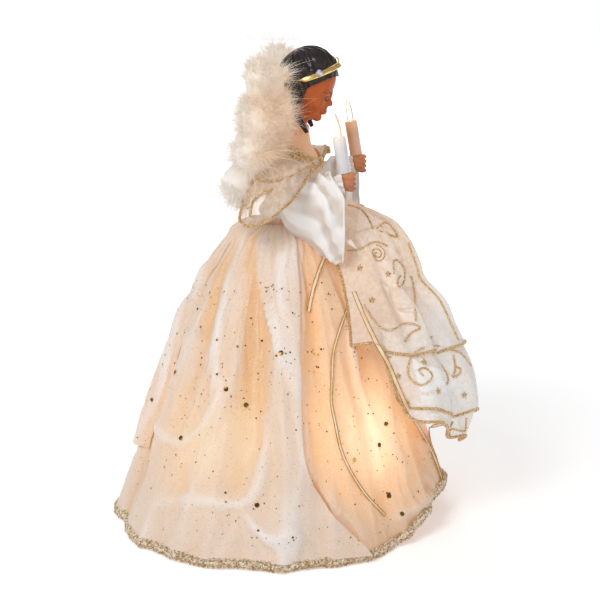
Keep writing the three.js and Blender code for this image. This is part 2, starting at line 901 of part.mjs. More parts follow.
// The hairline's angle from the crown, alike on both sides of the face
function hairlineAt(heading) {
  const fromFront = Math.abs(Math.atan2(Math.sin(heading), Math.cos(heading)));
  return radians(curve(hairlineDegrees, fromFront));
}

function hairSurface(heading, share, thickness) {
  const direction = aboutCrown(crownTilt, heading, share * hairlineAt(heading));
  const wave = 1 + 0.18 * Math.sin(9 * share + 3 * Math.cos(heading)) * share;
  const taper = 1 - 0.45 * smooth(0.8, 1, share);
  const distance = headSkin(direction) + hairSeat + thickness * wave * taper;
  return headMiddle.clone().addScaledVector(direction, distance);
}

function hairBody() {
  const columns = 24;
  const ring = (share, thickness) => ringShares(columns).map((u) => hairSurface(turn * u, share, thickness));
  const outer = [0.1, 0.25, 0.42, 0.58, 0.74, 0.88, 1].map((share) => ring(share, hairThickness));
  const inner = [1, 0.8, 0.6, 0.36, 0.12].map((share) => ring(share, 0));
  return ringBody([...outer, ...inner]);
}

addMesh(head, "hair", hairBody(), darkHair);

// Tiara: a band round the hair on a circle that drops towards the back
const tiaraTilt = radians(-2);
const tiaraSpread = radians(62);

function onTiara(heading, lift) {
  const direction = aboutCrown(crownTilt + tiaraTilt, heading, tiaraSpread);
  const reach = headSkin(direction) + hairSeat + 1.2 * hairThickness + seatGap;
  return headMiddle.clone().addScaledVector(direction, reach + lift);
}

function tiaraBand() {
  const rings = ringShares(24).map((u) => {
    const inside = onTiara(turn * u, 0);
    const out = inside.clone().sub(headMiddle).normalize();
    const across = aboutCrown(crownTilt + tiaraTilt, turn * u, tiaraSpread + 0.1)
      .sub(out)
      .normalize()
      .multiplyScalar(bandWidth / 2);
    const outside = inside.clone().addScaledVector(out, bandThickness);
    return [
      inside.clone().add(across),
      inside.clone().sub(across),
      outside.clone().sub(across),
      outside.clone().add(across),
    ];
  });
  return ringBody(rings, true);
}

addMesh(head, "tiara_band", tiaraBand(), gold);

for (const { side, sign } of bothSides) {
  const heading = sign * radians(52);
  const seat = onTiara(heading, bandThickness + seatGap);
  const gem = addMesh(head, "tiara_gem_" + side, new THREE.SphereGeometry(gemRadius, 8, 6), lilacGlass);
  const out = seat.clone().sub(headMiddle).normalize();
  gem.position.copy(seat).addScaledVector(out, gemRadius);
}

const frontLoop = addMesh(
  head,
  "tiara_loop",
  new THREE.TorusGeometry(loopRadius, loopWireRadius, 5, 12),
  gold,
);
const loopOut = onTiara(0, 0).sub(headMiddle).normalize();
frontLoop.position.copy(onTiara(0, bandThickness + seatGap + loopRadius + loopWireRadius));
frontLoop.quaternion.setFromUnitVectors(vector(0, 1, 0), loopOut);
frontLoop.rotateY(Math.PI / 2);

// A ringlet on each side, from the edge of the hair behind the jaw to the front of the shoulder
const curlRouteShares = [
  [0.33, 0.0, 0.22],
  [0.3, -0.13, 0.1],
  [0.25, -0.24, 0.0],
  [0.22, -0.31, -0.15],
];
const curlHeading = radians(108);

for (const { side, sign } of bothSides) {
  const root = hairSurface(sign * curlHeading, 1, hairThickness / 2);
  root.z -= 2 * seatGap + curlRadius / 2;
  const below = curlRouteShares.map(([x, y, z]) => vector(sign * x, y, z).multiplyScalar(headHeight));
  const route = [root, ...below];
  const path = new THREE.CatmullRomCurve3(route);
  const rings = evenShares(12).map((t) => {
    const middle = path.getPoint(t);
    const ahead = path.getTangent(t);
    const out = vector(1, 0, 0).cross(ahead).normalize();
    const beside = ahead.clone().cross(out);
    const radius = curlRadius * (0.35 + 0.65 * Math.sin(Math.PI * (0.12 + 0.8 * t)));
    return ringShares(6).map((u) => {
      const angle = turn * u;
      const lobe = radius * (1 + 0.22 * Math.cos(2 * angle + 9 * t));
      return middle
        .clone()
        .addScaledVector(out, lobe * Math.cos(angle))
        .addScaledVector(beside, lobe * Math.sin(angle));
    });
  });
  addMesh(head, "hair_curl_" + side, ringBody(rings), darkHair);
}

// Wings: a card on each side of a yoke on the bodice's back, in a mass of feathers
const wingOutlineShares = [
  [0, 0.1],
  [0.2, 0.42],
  [0.42, 0.78],
  [0.6, 0.86],
  [0.78, 0.7],
  [0.88, 0.3],
  [0.88, -0.1],
  [0.7, -0.24],
  [0.45, -0.2],
  [0, -0.08],
];
// Masses of feathers: places and reaches across, up and through the card
const featherShares = [
  [0.24, 0.16, 0.2, 0.2, 0, 1],
  [0.31, 0.72, 0.24, 0.25, -0.2, 1.3],
  [0.52, 0.73, 0.28, 0.26, 0.15, 1.3],
  [0.29, 0.48, 0.22, 0.25, -0.7, 1.25],
  [0.6, 0.46, 0.3, 0.26, -0.2, 1.4],
  [0.7, 0.3, 0.3, 0.3, 0, 1],
  [0.74, 0, 0.26, 0.24, 0.1, 1.1],
  [0.6, -0.15, 0.26, 0.2, 0.1, 1.15],
];
const featherHalfThickness = 15;
const wingMiddle = vector(0.55 * wingSpan, 0, 0.3 * wingRise);

function wingOutline() {
  const points = wingOutlineShares.map(([u, w]) => new THREE.Vector2(u * wingSpan, w * wingRise));
  const outline = new THREE.Shape();
  outline.moveTo(points[0].x, points[0].y);
  outline.splineThru(points.slice(1));
  outline.closePath();
  return outline;
}

function wingCard(thickness) {
  const options = { depth: thickness, curveSegments: 2, bevelEnabled: false };
  const card = new THREE.ExtrudeGeometry(wingOutline(), options);
  return card.translate(0, 0, -thickness / 2).rotateX(Math.PI / 2);
}

function wingFeathers() {
  const masses = featherShares.map(([u, w, wide, tall, depth, thick]) => ({
    middle: vector(u * wingSpan, depth * featherHalfThickness, w * wingRise),
    radii: vector(wide * wingSpan, thick * featherHalfThickness, tall * wingRise),
  }));
  const bulk = solidOf(skinBody(masses, wingMiddle, 2 * wingRise, 20, 15));
  return geometryOf(bulk.subtract(solidOf(wingCard(wingCardThickness + 2 * seatGap).scale(1.03, 1, 1.03))));
}

const yokeHeights = [-0.5, 0, 0.5].map((share) => wingRootHeight + share * yokeHeight);
const backFace = Math.max(...yokeHeights.map((height) => onTorso(Math.PI, height).y)) + bodiceFace;

for (const { side, sign } of bothSides) {
  const wing = new THREE.Group();
  wing.position.set(sign * wingRootSide, backFace + yokeThickness / 2, wingRootHeight);
  wing.rotation.set(radians(wingPitch), 0, sign * radians(wingSweep), "ZXY");
  figure.add(wing);
  addMesh(wing, "wing_card_" + side, mirrored(wingCard(wingCardThickness), sign), whitePlastic);
  addMesh(wing, "wing_feathers_" + side, mirrored(wingFeathers(), sign), feathers);
}

const yoke = addMesh(
  figure,
  "wing_yoke",
  new THREE.BoxGeometry(2 * (wingRootSide - yokeThickness / 2), yokeThickness, yokeHeight),
  whitePlastic,
);
yoke.position.set(0, backFace + yokeThickness / 2 + seatGap, wingRootHeight);

// Arms, each turning about the shoulder with its sleeve, hand and candle
const armRouteShares = [
  [0, 0, 0],
  [0.3, 0.02, 0.12],
  [0.62, 0.13, 0.59],
  [0.95, 0.4, 0.9],
  [1.05, 0.62, 0.6],
];
const armStart = onTorso(Math.PI / 2, shoulderPivotHeight).x * -1 + bodiceFace + seatGap;

function armPoint([out, ahead, down]) {
  return vector(
    mix(armStart, handSpread, out),
    -mix(shoulderPivotForward, handForward, ahead),
    mix(shoulderPivotHeight, handHeight, ahead) - down * elbowDrop,
  );
}

const armBar = () => barAlong(armRouteShares.map(armPoint), armRadius, 10);

function handBody() {
  const grip = vector(handSpread, -handForward, handHeight);
  const half = vector(fistWidth / 2, fistDepth / 2, fistHeight / 2);
  const masses = [{ middle: grip.clone(), radii: vector(0.82 * half.x, 0.82 * half.y, 0.86 * half.z) }];
  for (let i = 0; i < 4; i += 1) {
    const rise = mix(-0.68, 0.68, i / 3) * half.z;
    masses.push({
      middle: grip.clone().add(vector(0.25 * half.x, -0.42 * half.y, rise)),
      radii: vector(0.72 * half.x, 0.6 * half.y, 0.23 * half.z),
    });
  }
  masses.push({
    middle: grip.clone().add(vector(-0.62 * half.x, -0.2 * half.y, 0.55 * half.z)),
    radii: vector(0.35 * half.x, 0.62 * half.y, 0.3 * half.z),
  });
  let solid = solidOf(skinBody(masses, grip, fistHeight, 18, 14));
  const forearm = [armPoint([1.05, 0.64, 0.57]), armPoint([1.03, 0.8, 0.25]), grip];
  solid = solid.add(solidOf(barAlong(forearm, 0.85 * armRadius, 4)));
  const drill = turned(
    [
      [0, -candlePegLength - seatGap],
      [candlePegRadius + seatGap, -candlePegLength - seatGap],
      [candlePegRadius + seatGap, seatGap],
      [candleRadius + seatGap, seatGap],
      [candleRadius + seatGap, fistHeight],
      [0, fistHeight],
    ],
    10,
  );
  drill.translate(0, 0, -seatGap * 2).applyMatrix4(candleFrame().matrix);
  return geometryOf(solid.subtract(solidOf(drill)));
}

// The candle stands on the fist and leans back towards the doll
function candleFrame() {
  const frame = new THREE.Object3D();
  frame.position.set(handSpread, -handForward + 0.1 * fistDepth, handHeight + 0.42 * fistHeight);
  frame.rotation.x = -radians(candleLean);
  frame.updateMatrix();
  return frame;
}

function candleTube() {
  const bore = candleRadius - candleWall;
  return turned(
    [
      [0, -candlePegLength],
      [candlePegRadius, -candlePegLength],
      [candlePegRadius, 0],
      [candleRadius, 0],
      [candleRadius, candleLength - candleWall / 2],
      [candleRadius - candleWall / 2, candleLength],
      [bore, candleLength],
      [bore, candleLength - plugLength - slideClearance],
      [bore - candleWall, candleLength - plugLength - slideClearance],
      [bore - candleWall, candleFloor],
      [0, candleFloor],
    ],
    14,
  );
}

function candlePlug() {
  const radius = candleRadius - candleWall - slideClearance;
  const socket = glassRadius + seatGap;
  return turned(
    [
      [0, candleLength - plugLength],
      [radius, candleLength - plugLength],
      [radius, candleLength - 2 * candleWall],
      [socket, candleLength - candleWall],
      [socket, candleLength - plugLength / 2],
      [0, candleLength - plugLength / 2],
    ],
    12,
  );
}

function candleGlass() {
  const foot = candleLength - plugLength / 2 + seatGap;
  const top = candleLength + glassLength;
  return turned(
    [
      [0, foot],
      [0.85 * glassRadius, foot],
      [glassRadius, foot + glassRadius],
      [glassRadius, mix(foot, top, 0.55)],
      [0.72 * glassRadius, mix(foot, top, 0.75)],
      [0.3 * glassRadius, mix(foot, top, 0.9)],
      [0.12 * glassRadius, mix(foot, top, 0.97)],
      [0, top],
    ],
    12,
  );
}

// Sleeve: a tight ring round the upper arm that widens to a tall mouth at the wrist
const armPath = new THREE.CatmullRomCurve3(armRouteShares.map(armPoint), false, "centripetal");
const sleeveCuffShare = 0.24;
const sleeveHeightShares = [
  [0, 0.2],
  [0.18, 0.5],
  [0.45, 0.74],
  [0.75, 0.92],
  [1, 1],
];
const sleeveWidthShares = [
  [0, 0.38],
  [0.2, 0.85],
  [0.6, 0.95],
  [1, 1],
];
const sleeveMouthTop = handHeight + 0.5 * fistHeight;
const sleeveFirstFacing = armPath.getTangentAt(sleeveCuffShare);

function sleeveFrame(share) {
  const facing = sleeveFirstFacing.clone().lerp(vector(0, -1, 0), smooth(0, 0.35, share)).normalize();
  const up = vector(0, 0, 1).addScaledVector(facing, -facing.z).normalize();
  const beside = facing.clone().cross(up);
  const tall = curve(sleeveHeightShares, share) * sleeveMouthHeight;
  const mouth = vector(handSpread + 0.08 * sleeveMouthWidth, -sleeveMouthForward, sleeveMouthTop);
  const crest = armPath.getPointAt(sleeveCuffShare).addScaledVector(up, armRadius + seatGap + clothThickness);
  const top = crest.lerp(mouth, share);
  top.z -= sleeveSag * Math.sin(Math.PI * share);
  return { top, up, beside, facing, tall };
}

function onSleeve(turnShare, share) {
  const { top, up, beside, facing, tall } = sleeveFrame(share);
  const angle = turn * turnShare;
  const wide = curve(sleeveWidthShares, share) * sleeveMouthWidth;
  const fold = 1 + 0.12 * Math.sin(5 * angle + 4 * share) * smooth(0.15, 0.6, share);
  const low = (1 - Math.cos(angle)) / 2;
  return top
    .clone()
    .addScaledVector(up, -low * tall)
    .addScaledVector(facing, sleeveMouthLead * smooth(0, 0.3, low) * share)
    .addScaledVector(beside, (wide / 2) * fold * Math.sin(angle) * (1 - 0.35 * low * share));
}

function sleeveBody() {
  return sheetBody({
    place: (u, v) => onSleeve(u, v),
    us: ringShares(22),
    vs: [0, 0.1, 0.22, 0.38, 0.55, 0.7, 0.85, 1],
    closed: true,
    thickness: clothThickness,
  });
}

// The lead of each candle lies under the arm inside the sleeve, from the shoulder to the wrist
function candleLead() {
  const below = armRadius + seatGap + wireRadius;
  const route = [...armRouteShares, [1.04, 0.82, 0.22]].map(armPoint);
  const path = new THREE.CatmullRomCurve3(route, false, "centripetal");
  const points = evenShares(8).map((share) => {
    const ahead = path.getTangentAt(share);
    const down = vector(0, 0, -1).addScaledVector(ahead, ahead.z).normalize();
    return path.getPointAt(share).addScaledVector(down, below);
  });
  return barAlong(points, wireRadius, 14, 6);
}

for (const { side, sign } of bothSides) {
  const arm = new THREE.Group();
  figure.add(arm);
  const candle = new THREE.Group();
  const frame = candleFrame();
  candle.position.set(sign * frame.position.x, frame.position.y, frame.position.z);
  candle.rotation.copy(frame.rotation);
  arm.add(candle);
  addMesh(arm, "arm_" + side, mirrored(armBar(), sign), whitePlastic);
  addMesh(arm, "hand_" + side, mirrored(handBody(), sign), skin);
  addMesh(arm, "sleeve_" + side, mirrored(sleeveBody(), sign), whiteSatin);
  addMesh(arm, "candle_lead_" + side, mirrored(candleLead(), sign), wireCream);
  addMesh(candle, "candle_tube_" + side, candleTube(), candleWhite);
  addMesh(candle, "candle_lamp_plug_" + side, candlePlug(), wireCream);
  addMesh(candle, "candle_lamp_glass_" + side, candleGlass(), clearGlass);
}

export default figure;
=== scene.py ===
"""An angel tree topper's looks, as an add-on: cloth, feathers, face, candles and trim on its fixed frame."""
import math

import bpy
import numpy as np
from bpy.props import FloatProperty, FloatVectorProperty, IntProperty, PointerProperty
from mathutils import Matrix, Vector, noise
from mathutils.bvhtree import BVHTree


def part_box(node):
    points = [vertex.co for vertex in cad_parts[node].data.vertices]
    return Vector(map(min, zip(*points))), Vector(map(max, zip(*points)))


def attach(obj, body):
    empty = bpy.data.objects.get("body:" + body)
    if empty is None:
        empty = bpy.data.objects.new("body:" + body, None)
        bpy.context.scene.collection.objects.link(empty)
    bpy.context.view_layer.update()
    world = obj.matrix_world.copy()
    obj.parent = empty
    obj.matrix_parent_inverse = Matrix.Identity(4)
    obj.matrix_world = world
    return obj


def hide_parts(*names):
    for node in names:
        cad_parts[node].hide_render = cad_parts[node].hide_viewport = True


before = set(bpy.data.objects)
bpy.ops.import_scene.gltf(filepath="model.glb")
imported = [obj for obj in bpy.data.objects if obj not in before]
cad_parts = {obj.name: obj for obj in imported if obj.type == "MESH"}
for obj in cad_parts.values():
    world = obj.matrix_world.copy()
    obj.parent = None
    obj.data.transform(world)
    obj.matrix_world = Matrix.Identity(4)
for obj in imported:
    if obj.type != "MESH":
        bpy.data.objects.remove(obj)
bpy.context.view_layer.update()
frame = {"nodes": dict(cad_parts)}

bl_info = {
    "name": "Angel Tree Topper",
    "version": (1, 0, 0),
    "blender": (4, 5, 0),
    "location": "3D View > Sidebar > Topper",
    "description": "Dresses the topper's frame in satin, organza, feathers and braid",
    "category": "Object",
}

PICTURE_SIDE = 600
SENSOR_WIDTH = 36.0
TURN = 2 * math.pi
SIDES = (("right", -1), ("left", 1))


# Sizes and colours that a user would change

def number(name, description, default, **limits):
    return FloatProperty(name=name, description=description, default=default, **limits)


def length(name, description, default):
    return number(name, description, default, unit="LENGTH", precision=4)


def amount(name, description, default):
    return IntProperty(name=name, description=description, default=default, min=0)


def colour(name, description, default):
    return FloatVectorProperty(
        name=name, description=description, default=default, size=3, subtype="COLOR", min=0.0, max=1.0
    )


class TopperStage(bpy.types.PropertyGroup):
    """The camera, lights and floor"""

    azimuth: number("Azimuth", "Heading of the camera round the doll", math.radians(-82), subtype="ANGLE")
    elevation: number("Elevation", "Camera's height as an angle", math.radians(15), subtype="ANGLE")
    distance: length("Distance", "From the camera to what it looks at", 1.3)
    target: FloatVectorProperty(
        name="Target", description="Place that the camera looks at",
        default=(0, -0.014, 0.18), subtype="TRANSLATION",
    )
    lens: number("Lens", "Focal length in millimetres", 93.6, min=1.0)
    key_light: number("Key light", "Power of the large soft light, in watts", 12.0)
    fill_light: number("Fill light", "Power of the light from the front", 2.6)
    rim_light: number("Rim light", "Power of the light behind the doll", 3.5)
    sky: number("Sky", "Strength of the even light from all round", 0.44)
    floor: colour("Floor", "Colour of the floor", (0.93, 0.93, 0.93))


class TopperDress(bpy.types.PropertyGroup):
    """The dress, its folds and its trim"""

    waist_height: length("Waist height", "Height of the skirt's top edge", 0.248)
    hem_radius: length("Hem radius", "Radius of the skirt's foot", 0.142)
    front_lift: length("Front lift", "How far the hem rises at the front", 0.020)
    fold_depth: length("Fold depth", "Depth of the skirt's main folds", 0.006)
    crease_depth: length("Crease depth", "Depth of the finer creases between the folds", 0.0021)
    layer_lift: length("Layer lift", "Gap from one cloth layer to the next", 0.0022)
    sequins: amount("Sequins", "Number of sequins on the skirt", 1150)
    # Cream is painted shade, peach, for the deepest valleys of the skirt's folds
    cream: colour("Cream", "Cloth between the folds, where it lies deepest", (0.87, 0.55, 0.31))
    robe: colour("Robe", "Glitter cloth of the robe and the skirt", (0.87, 0.71, 0.59))
    # Shine is a painted highlight on the ridges of the robe's folds
    shine: colour("Shine", "Satin on the ridges of the folds", (0.95, 0.89, 0.85))
    white: colour("White", "Satin of the sleeves", (0.84, 0.79, 0.75))
    organza: colour("Organza", "Sheer cloth of the cascade and the drapes", (0.86, 0.80, 0.74))
    gold: colour("Gold", "Glitter lines and metal trim", (0.62, 0.39, 0.11))
    braid: colour("Braid", "Metallic braid of the hem", (0.92, 0.76, 0.54))
    glow: colour("Glow", "Light of the lamps through the cloth", (1.0, 0.42, 0.12))
    glow_strength: number("Glow strength", "Strength of the lamps' light", 0.4)


class TopperDoll(bpy.types.PropertyGroup):
    """The doll's head, hair, hands and candles"""

    skin: colour("Skin", "Moulded skin of the face", (0.64, 0.14, 0.03))
    hands: colour("Hands", "Moulded skin of the hands and the bust", (0.41, 0.155, 0.095))
    lips: colour("Lips", "Painted lips", (0.36, 0.085, 0.055))
    hair: colour("Hair", "Sculpted hair", (0.014, 0.010, 0.009))
    candle: colour("Candle", "Candle tubes", (0.80, 0.78, 0.79))
    gem: colour("Gem", "Cut gems of the tiara", (0.45, 0.38, 0.78))
    flame: colour("Flame", "Light of the candle lamps", (1.0, 0.62, 0.28))


class TopperWings(bpy.types.PropertyGroup):
    """The feather wings"""

    plume_length: length("Barb length", "Length of the feathers' soft barbs", 0.015)
    barbs: amount("Barbs", "Barbs on each wing", 31000)
    tips: colour("Tips", "Outer feathers", (0.85, 0.81, 0.75))
    # The inner down tone is painted warm lamp light and shade
    down: colour("Down", "Inner down", (0.90, 0.68, 0.47))
    seed: amount("Seed", "Start of the random draws", 7)


# Shapes: every place is in metres, in the frame's own axes, and an angle of 0 is the doll's front

def curve(table, at):
    """Heights of a smooth curve through a table of (position, value) pairs."""
    xs, ys = np.array(table, float).T
    slopes = np.gradient(ys, xs)
    slopes[1:-1] = (ys[2:] - ys[:-2]) / (xs[2:] - xs[:-2])
    at = np.clip(at, xs[0], xs[-1])
    i = np.clip(np.searchsorted(xs, at, side="right") - 1, 0, len(xs) - 2)
    span = xs[i + 1] - xs[i]
    t = (at - xs[i]) / span
    rise = ys[i + 1] - ys[i]
    start, end = slopes[i] * span, slopes[i + 1] * span
    return ys[i] + t * start + t**2 * (3 * rise - 2 * start - end) + t**3 * (start + end - 2 * rise)


def smooth(low, high, at):
    """A share that eases from 0 at low to 1 at high."""
    t = np.clip((np.asarray(at, float) - low) / (high - low), 0, 1)
    return t * t * (3 - 2 * t)


def mix(a, b, t):
    return a + (b - a) * t


def place(x, y, z):
    return np.stack(np.broadcast_arrays(x, y, z), axis=-1).astype(float)


def around(angle, radius, height):
    return place(-radius * np.sin(angle), -radius * np.cos(angle), height)


def unit(vectors):
    return vectors / np.maximum(np.linalg.norm(vectors, axis=-1, keepdims=True), 1e-9)


def turns(count):
    """Angles spread evenly round a circle."""
    return TURN * np.arange(count) / count


def square_to(ahead, guide):
    """Two directions square to each one ahead and to each other: beside it and over it."""
    beside = unit(np.cross(ahead, guide))
    return beside, np.cross(beside, ahead)


def turned_by(angle, beside, over):
    """Directions at some angles from one direction towards another."""
    return np.cos(angle) * beside + np.sin(angle) * over


def rough(points, scale, seed):
    """Smooth noise from -1 to 1 at each point, with bumps about one scale apart."""
    flat = np.asarray(points, float).reshape(-1, 3) / scale + seed
    return np.array([noise.noise(p) for p in flat]).reshape(np.asarray(points).shape[:-1])


def normals_of(grid, closed=False):
    """The direction out of a grid of points at each point, columns first."""
    if closed:
        along = np.roll(grid, -1, axis=1) - np.roll(grid, 1, axis=1)
    else:
        along = np.gradient(grid, axis=1)
    return unit(np.cross(along, np.gradient(grid, axis=0)))


def grid_mesh(name, grid, closed=False, caps=False):
    """A smooth-shaded mesh through a grid of points, closed round its rows or open."""
    rows, columns = grid.shape[:2]
    index = np.arange(rows * columns).reshape(rows, columns)
    right = np.roll(index, -1, axis=1) if closed else index[:, 1:]
    left = index if closed else index[:, :-1]
    faces = np.stack([left[:-1], left[1:], right[1:], right[:-1]], axis=-1).reshape(-1, 4).tolist()
    if caps:
        faces += [index[0].tolist(), index[-1][::-1].tolist()]
    return mesh_of(name, grid.reshape(-1, 3), faces)


def mark(piece, name, values):
    """Keeps one value for each point of a piece, for its finish to use."""
    values = np.asarray(values, np.float32).ravel()
    piece.data.attributes.new(name, "FLOAT", "POINT").data.foreach_set("value", values)


def mesh_of(name, points, faces):
    mesh = bpy.data.meshes.new(name)
    mesh.from_pydata(np.asarray(points, float).tolist(), [], faces)
    mesh.validate()
    mesh.shade_smooth()
    mesh.update()
    piece = bpy.data.objects.new(name, mesh)
    bpy.context.scene.collection.objects.link(piece)
    return piece


def many(name, shapes):
    """One mesh from (points, faces) pairs."""
    points, faces, start = [], [], 0
    for shape_points, shape_faces in shapes:
        points.append(np.asarray(shape_points, float))
        faces += [[start + i for i in face] for face in shape_faces]
        start += len(shape_points)
    return mesh_of(name, np.concatenate(points), faces)


def ring_faces(rows, columns, caps=True, looped=False):
    """The faces of a tube whose rings of points follow each other."""
    faces = []
    for i in range(rows if looped else rows - 1):
        a, b = i * columns, (i + 1) % rows * columns
        faces += [[a + j, a + (j + 1) % columns, b + (j + 1) % columns, b + j] for j in range(columns)]
    if caps and not looped:
        faces += [list(range(columns))[::-1], [(rows - 1) * columns + j for j in range(columns)]]
    return faces


PATH_SAMPLES = 12


def smooth_path(points, steps, looped=False):
    """Evenly spaced points of a smooth curve through a few."""
    points = np.asarray(points, float)
    if looped:
        points = np.concatenate([points[-1:], points, points[:2]])
    else:
        points = np.concatenate([2 * points[:1] - points[1:2], points, 2 * points[-1:] - points[-2:-1]])
    dense = []
    for a, b, c, d in zip(points, points[1:], points[2:], points[3:]):
        for t in np.arange(PATH_SAMPLES) / PATH_SAMPLES:
            bend = 2 * a - 5 * b + 4 * c - d
            dense.append(0.5 * (2 * b + (c - a) * t + bend * t**2 + (3 * b - a - 3 * c + d) * t**3))
    dense = np.array(dense + [points[-2]])
    run = np.concatenate([[0], np.cumsum(np.linalg.norm(np.diff(dense, axis=0), axis=1))])
    at = np.linspace(0, run[-1], steps, endpoint=not looped)
    return np.stack([np.interp(at, run, dense[:, k]) for k in range(3)], axis=-1)


ODD_WAY = (0.31, 0.22, 0.93)


def tube(path, radius, sides=8, looped=False, flat=1.0, up=ODD_WAY):
    """Points and faces of a bar along a path; flat squeezes its section across up."""
    path = np.asarray(path, float)
    if looped:
        ahead = unit(np.roll(path, -1, axis=0) - np.roll(path, 1, axis=0))
    else:
        ahead = unit(np.gradient(path, axis=0))
    beside, over = square_to(ahead, np.broadcast_to(np.asarray(up, float), path.shape))
    angle = turns(sides)
    radius = np.broadcast_to(radius, len(path))[:, None, None]
    rings = path[:, None] + radius * (
        beside[:, None] * np.cos(angle)[None, :, None] + flat * over[:, None] * np.sin(angle)[None, :, None]
    )
    return rings.reshape(-1, 3), ring_faces(len(path), sides, looped=looped)


TWIST_PITCH = 0.0028


def twisted(path, radius):
    """Two thin cords wound round a path, as glitter braid is."""
    run = np.linalg.norm(np.diff(path, axis=0), axis=1).sum()
    path = smooth_path(path, int(7 * run / TWIST_PITCH))
    beside, over = square_to(unit(np.gradient(path, axis=0)), (0.3, 0.2, 1.0))
    turn = TURN * run / TWIST_PITCH * np.linspace(0, 1, len(path))[:, None]
    strands = [path + radius * turned_by(turn + start, beside, over) for start in (0, math.pi)]
    return [tube(strand, 0.75 * radius, 5) for strand in strands]


def lathe(profile, segments=40):
    """Points and faces of a piece turned about +Z, from (radius, height) pairs."""
    profile = np.asarray(profile, float)
    rings = around(turns(segments)[None], profile[:, :1], profile[:, 1:])
    return rings.reshape(-1, 3), ring_faces(len(profile), segments)


def bead(middle, radius, rows=5, columns=8):
    """Points and faces of a round bead."""
    tilt = math.pi * (np.arange(rows) + 0.5) / rows
    ring = around(turns(columns)[None], np.sin(tilt)[:, None], np.cos(tilt)[:, None])
    return np.asarray(middle) + radius * ring.reshape(-1, 3), ring_faces(rows, columns)


# Merged masses, which swell into one smooth skin

HALVINGS = 22
MERGE = 5


def masses_of(table, scale, mirror=True):
    """Middles and radii of masses from a table of shares, with those off the middle on both sides."""
    rows = []
    for middle, radii in table:
        rows.append((middle, radii))
        if mirror and middle[0]:
            rows.append(((-middle[0], *middle[1:]), radii))
    return np.array([r[0] for r in rows]) * scale, np.array([r[1] for r in rows]) * scale


def skin_distance(masses, start, directions, farthest):
    """How far the skin lies from an inner point in each direction."""
    middles, radii = masses
    near = np.zeros(directions.shape[:-1])
    far = np.full(directions.shape[:-1], farthest)
    for _ in range(HALVINGS):
        half = (near + far) / 2
        points = start + directions * half[..., None]
        reach = (((points[..., None, :] - middles) / radii) ** 2).sum(-1)
        inside = np.exp(MERGE * (1 - reach)).sum(-1) > 1
        near, far = np.where(inside, half, near), np.where(inside, far, half)
    return near


def directions_of(rows, columns):
    """Directions on a sphere, rows from the top down."""
    tilt = (math.pi * (np.arange(rows) + 0.5) / rows)[:, None]
    return around(turns(columns)[None], np.sin(tilt), np.cos(tilt))


# Finishes

def math_of(operation, swapped=False):
    """An operator of a tone, which adds one Math node."""

    def apply(self, other):
        return self.finish.math(operation, *((other, self) if swapped else (self, other)))

    return apply


class Tone:
    """An output of a material's nodes. Sums of tones add Math nodes."""

    __add__ = __radd__ = math_of("ADD")
    __mul__ = __rmul__ = math_of("MULTIPLY")
    __sub__ = math_of("SUBTRACT")
    __rsub__ = math_of("SUBTRACT", swapped=True)
    __gt__ = math_of("GREATER_THAN")
    __lt__ = math_of("LESS_THAN")

    def __init__(self, finish, socket):
        self.finish = finish
        self.socket = socket

    def math(self, operation, *others):
        return self.finish.math(operation, self, *others)

    def eased(self, low, high):
        """A share that eases from 0 at low to 1 at high."""
        sockets = {"Value": self, "From Min": low, "From Max": high}
        return self.finish.node("ShaderNodeMapRange", {"interpolation_type": "SMOOTHSTEP"}, sockets)


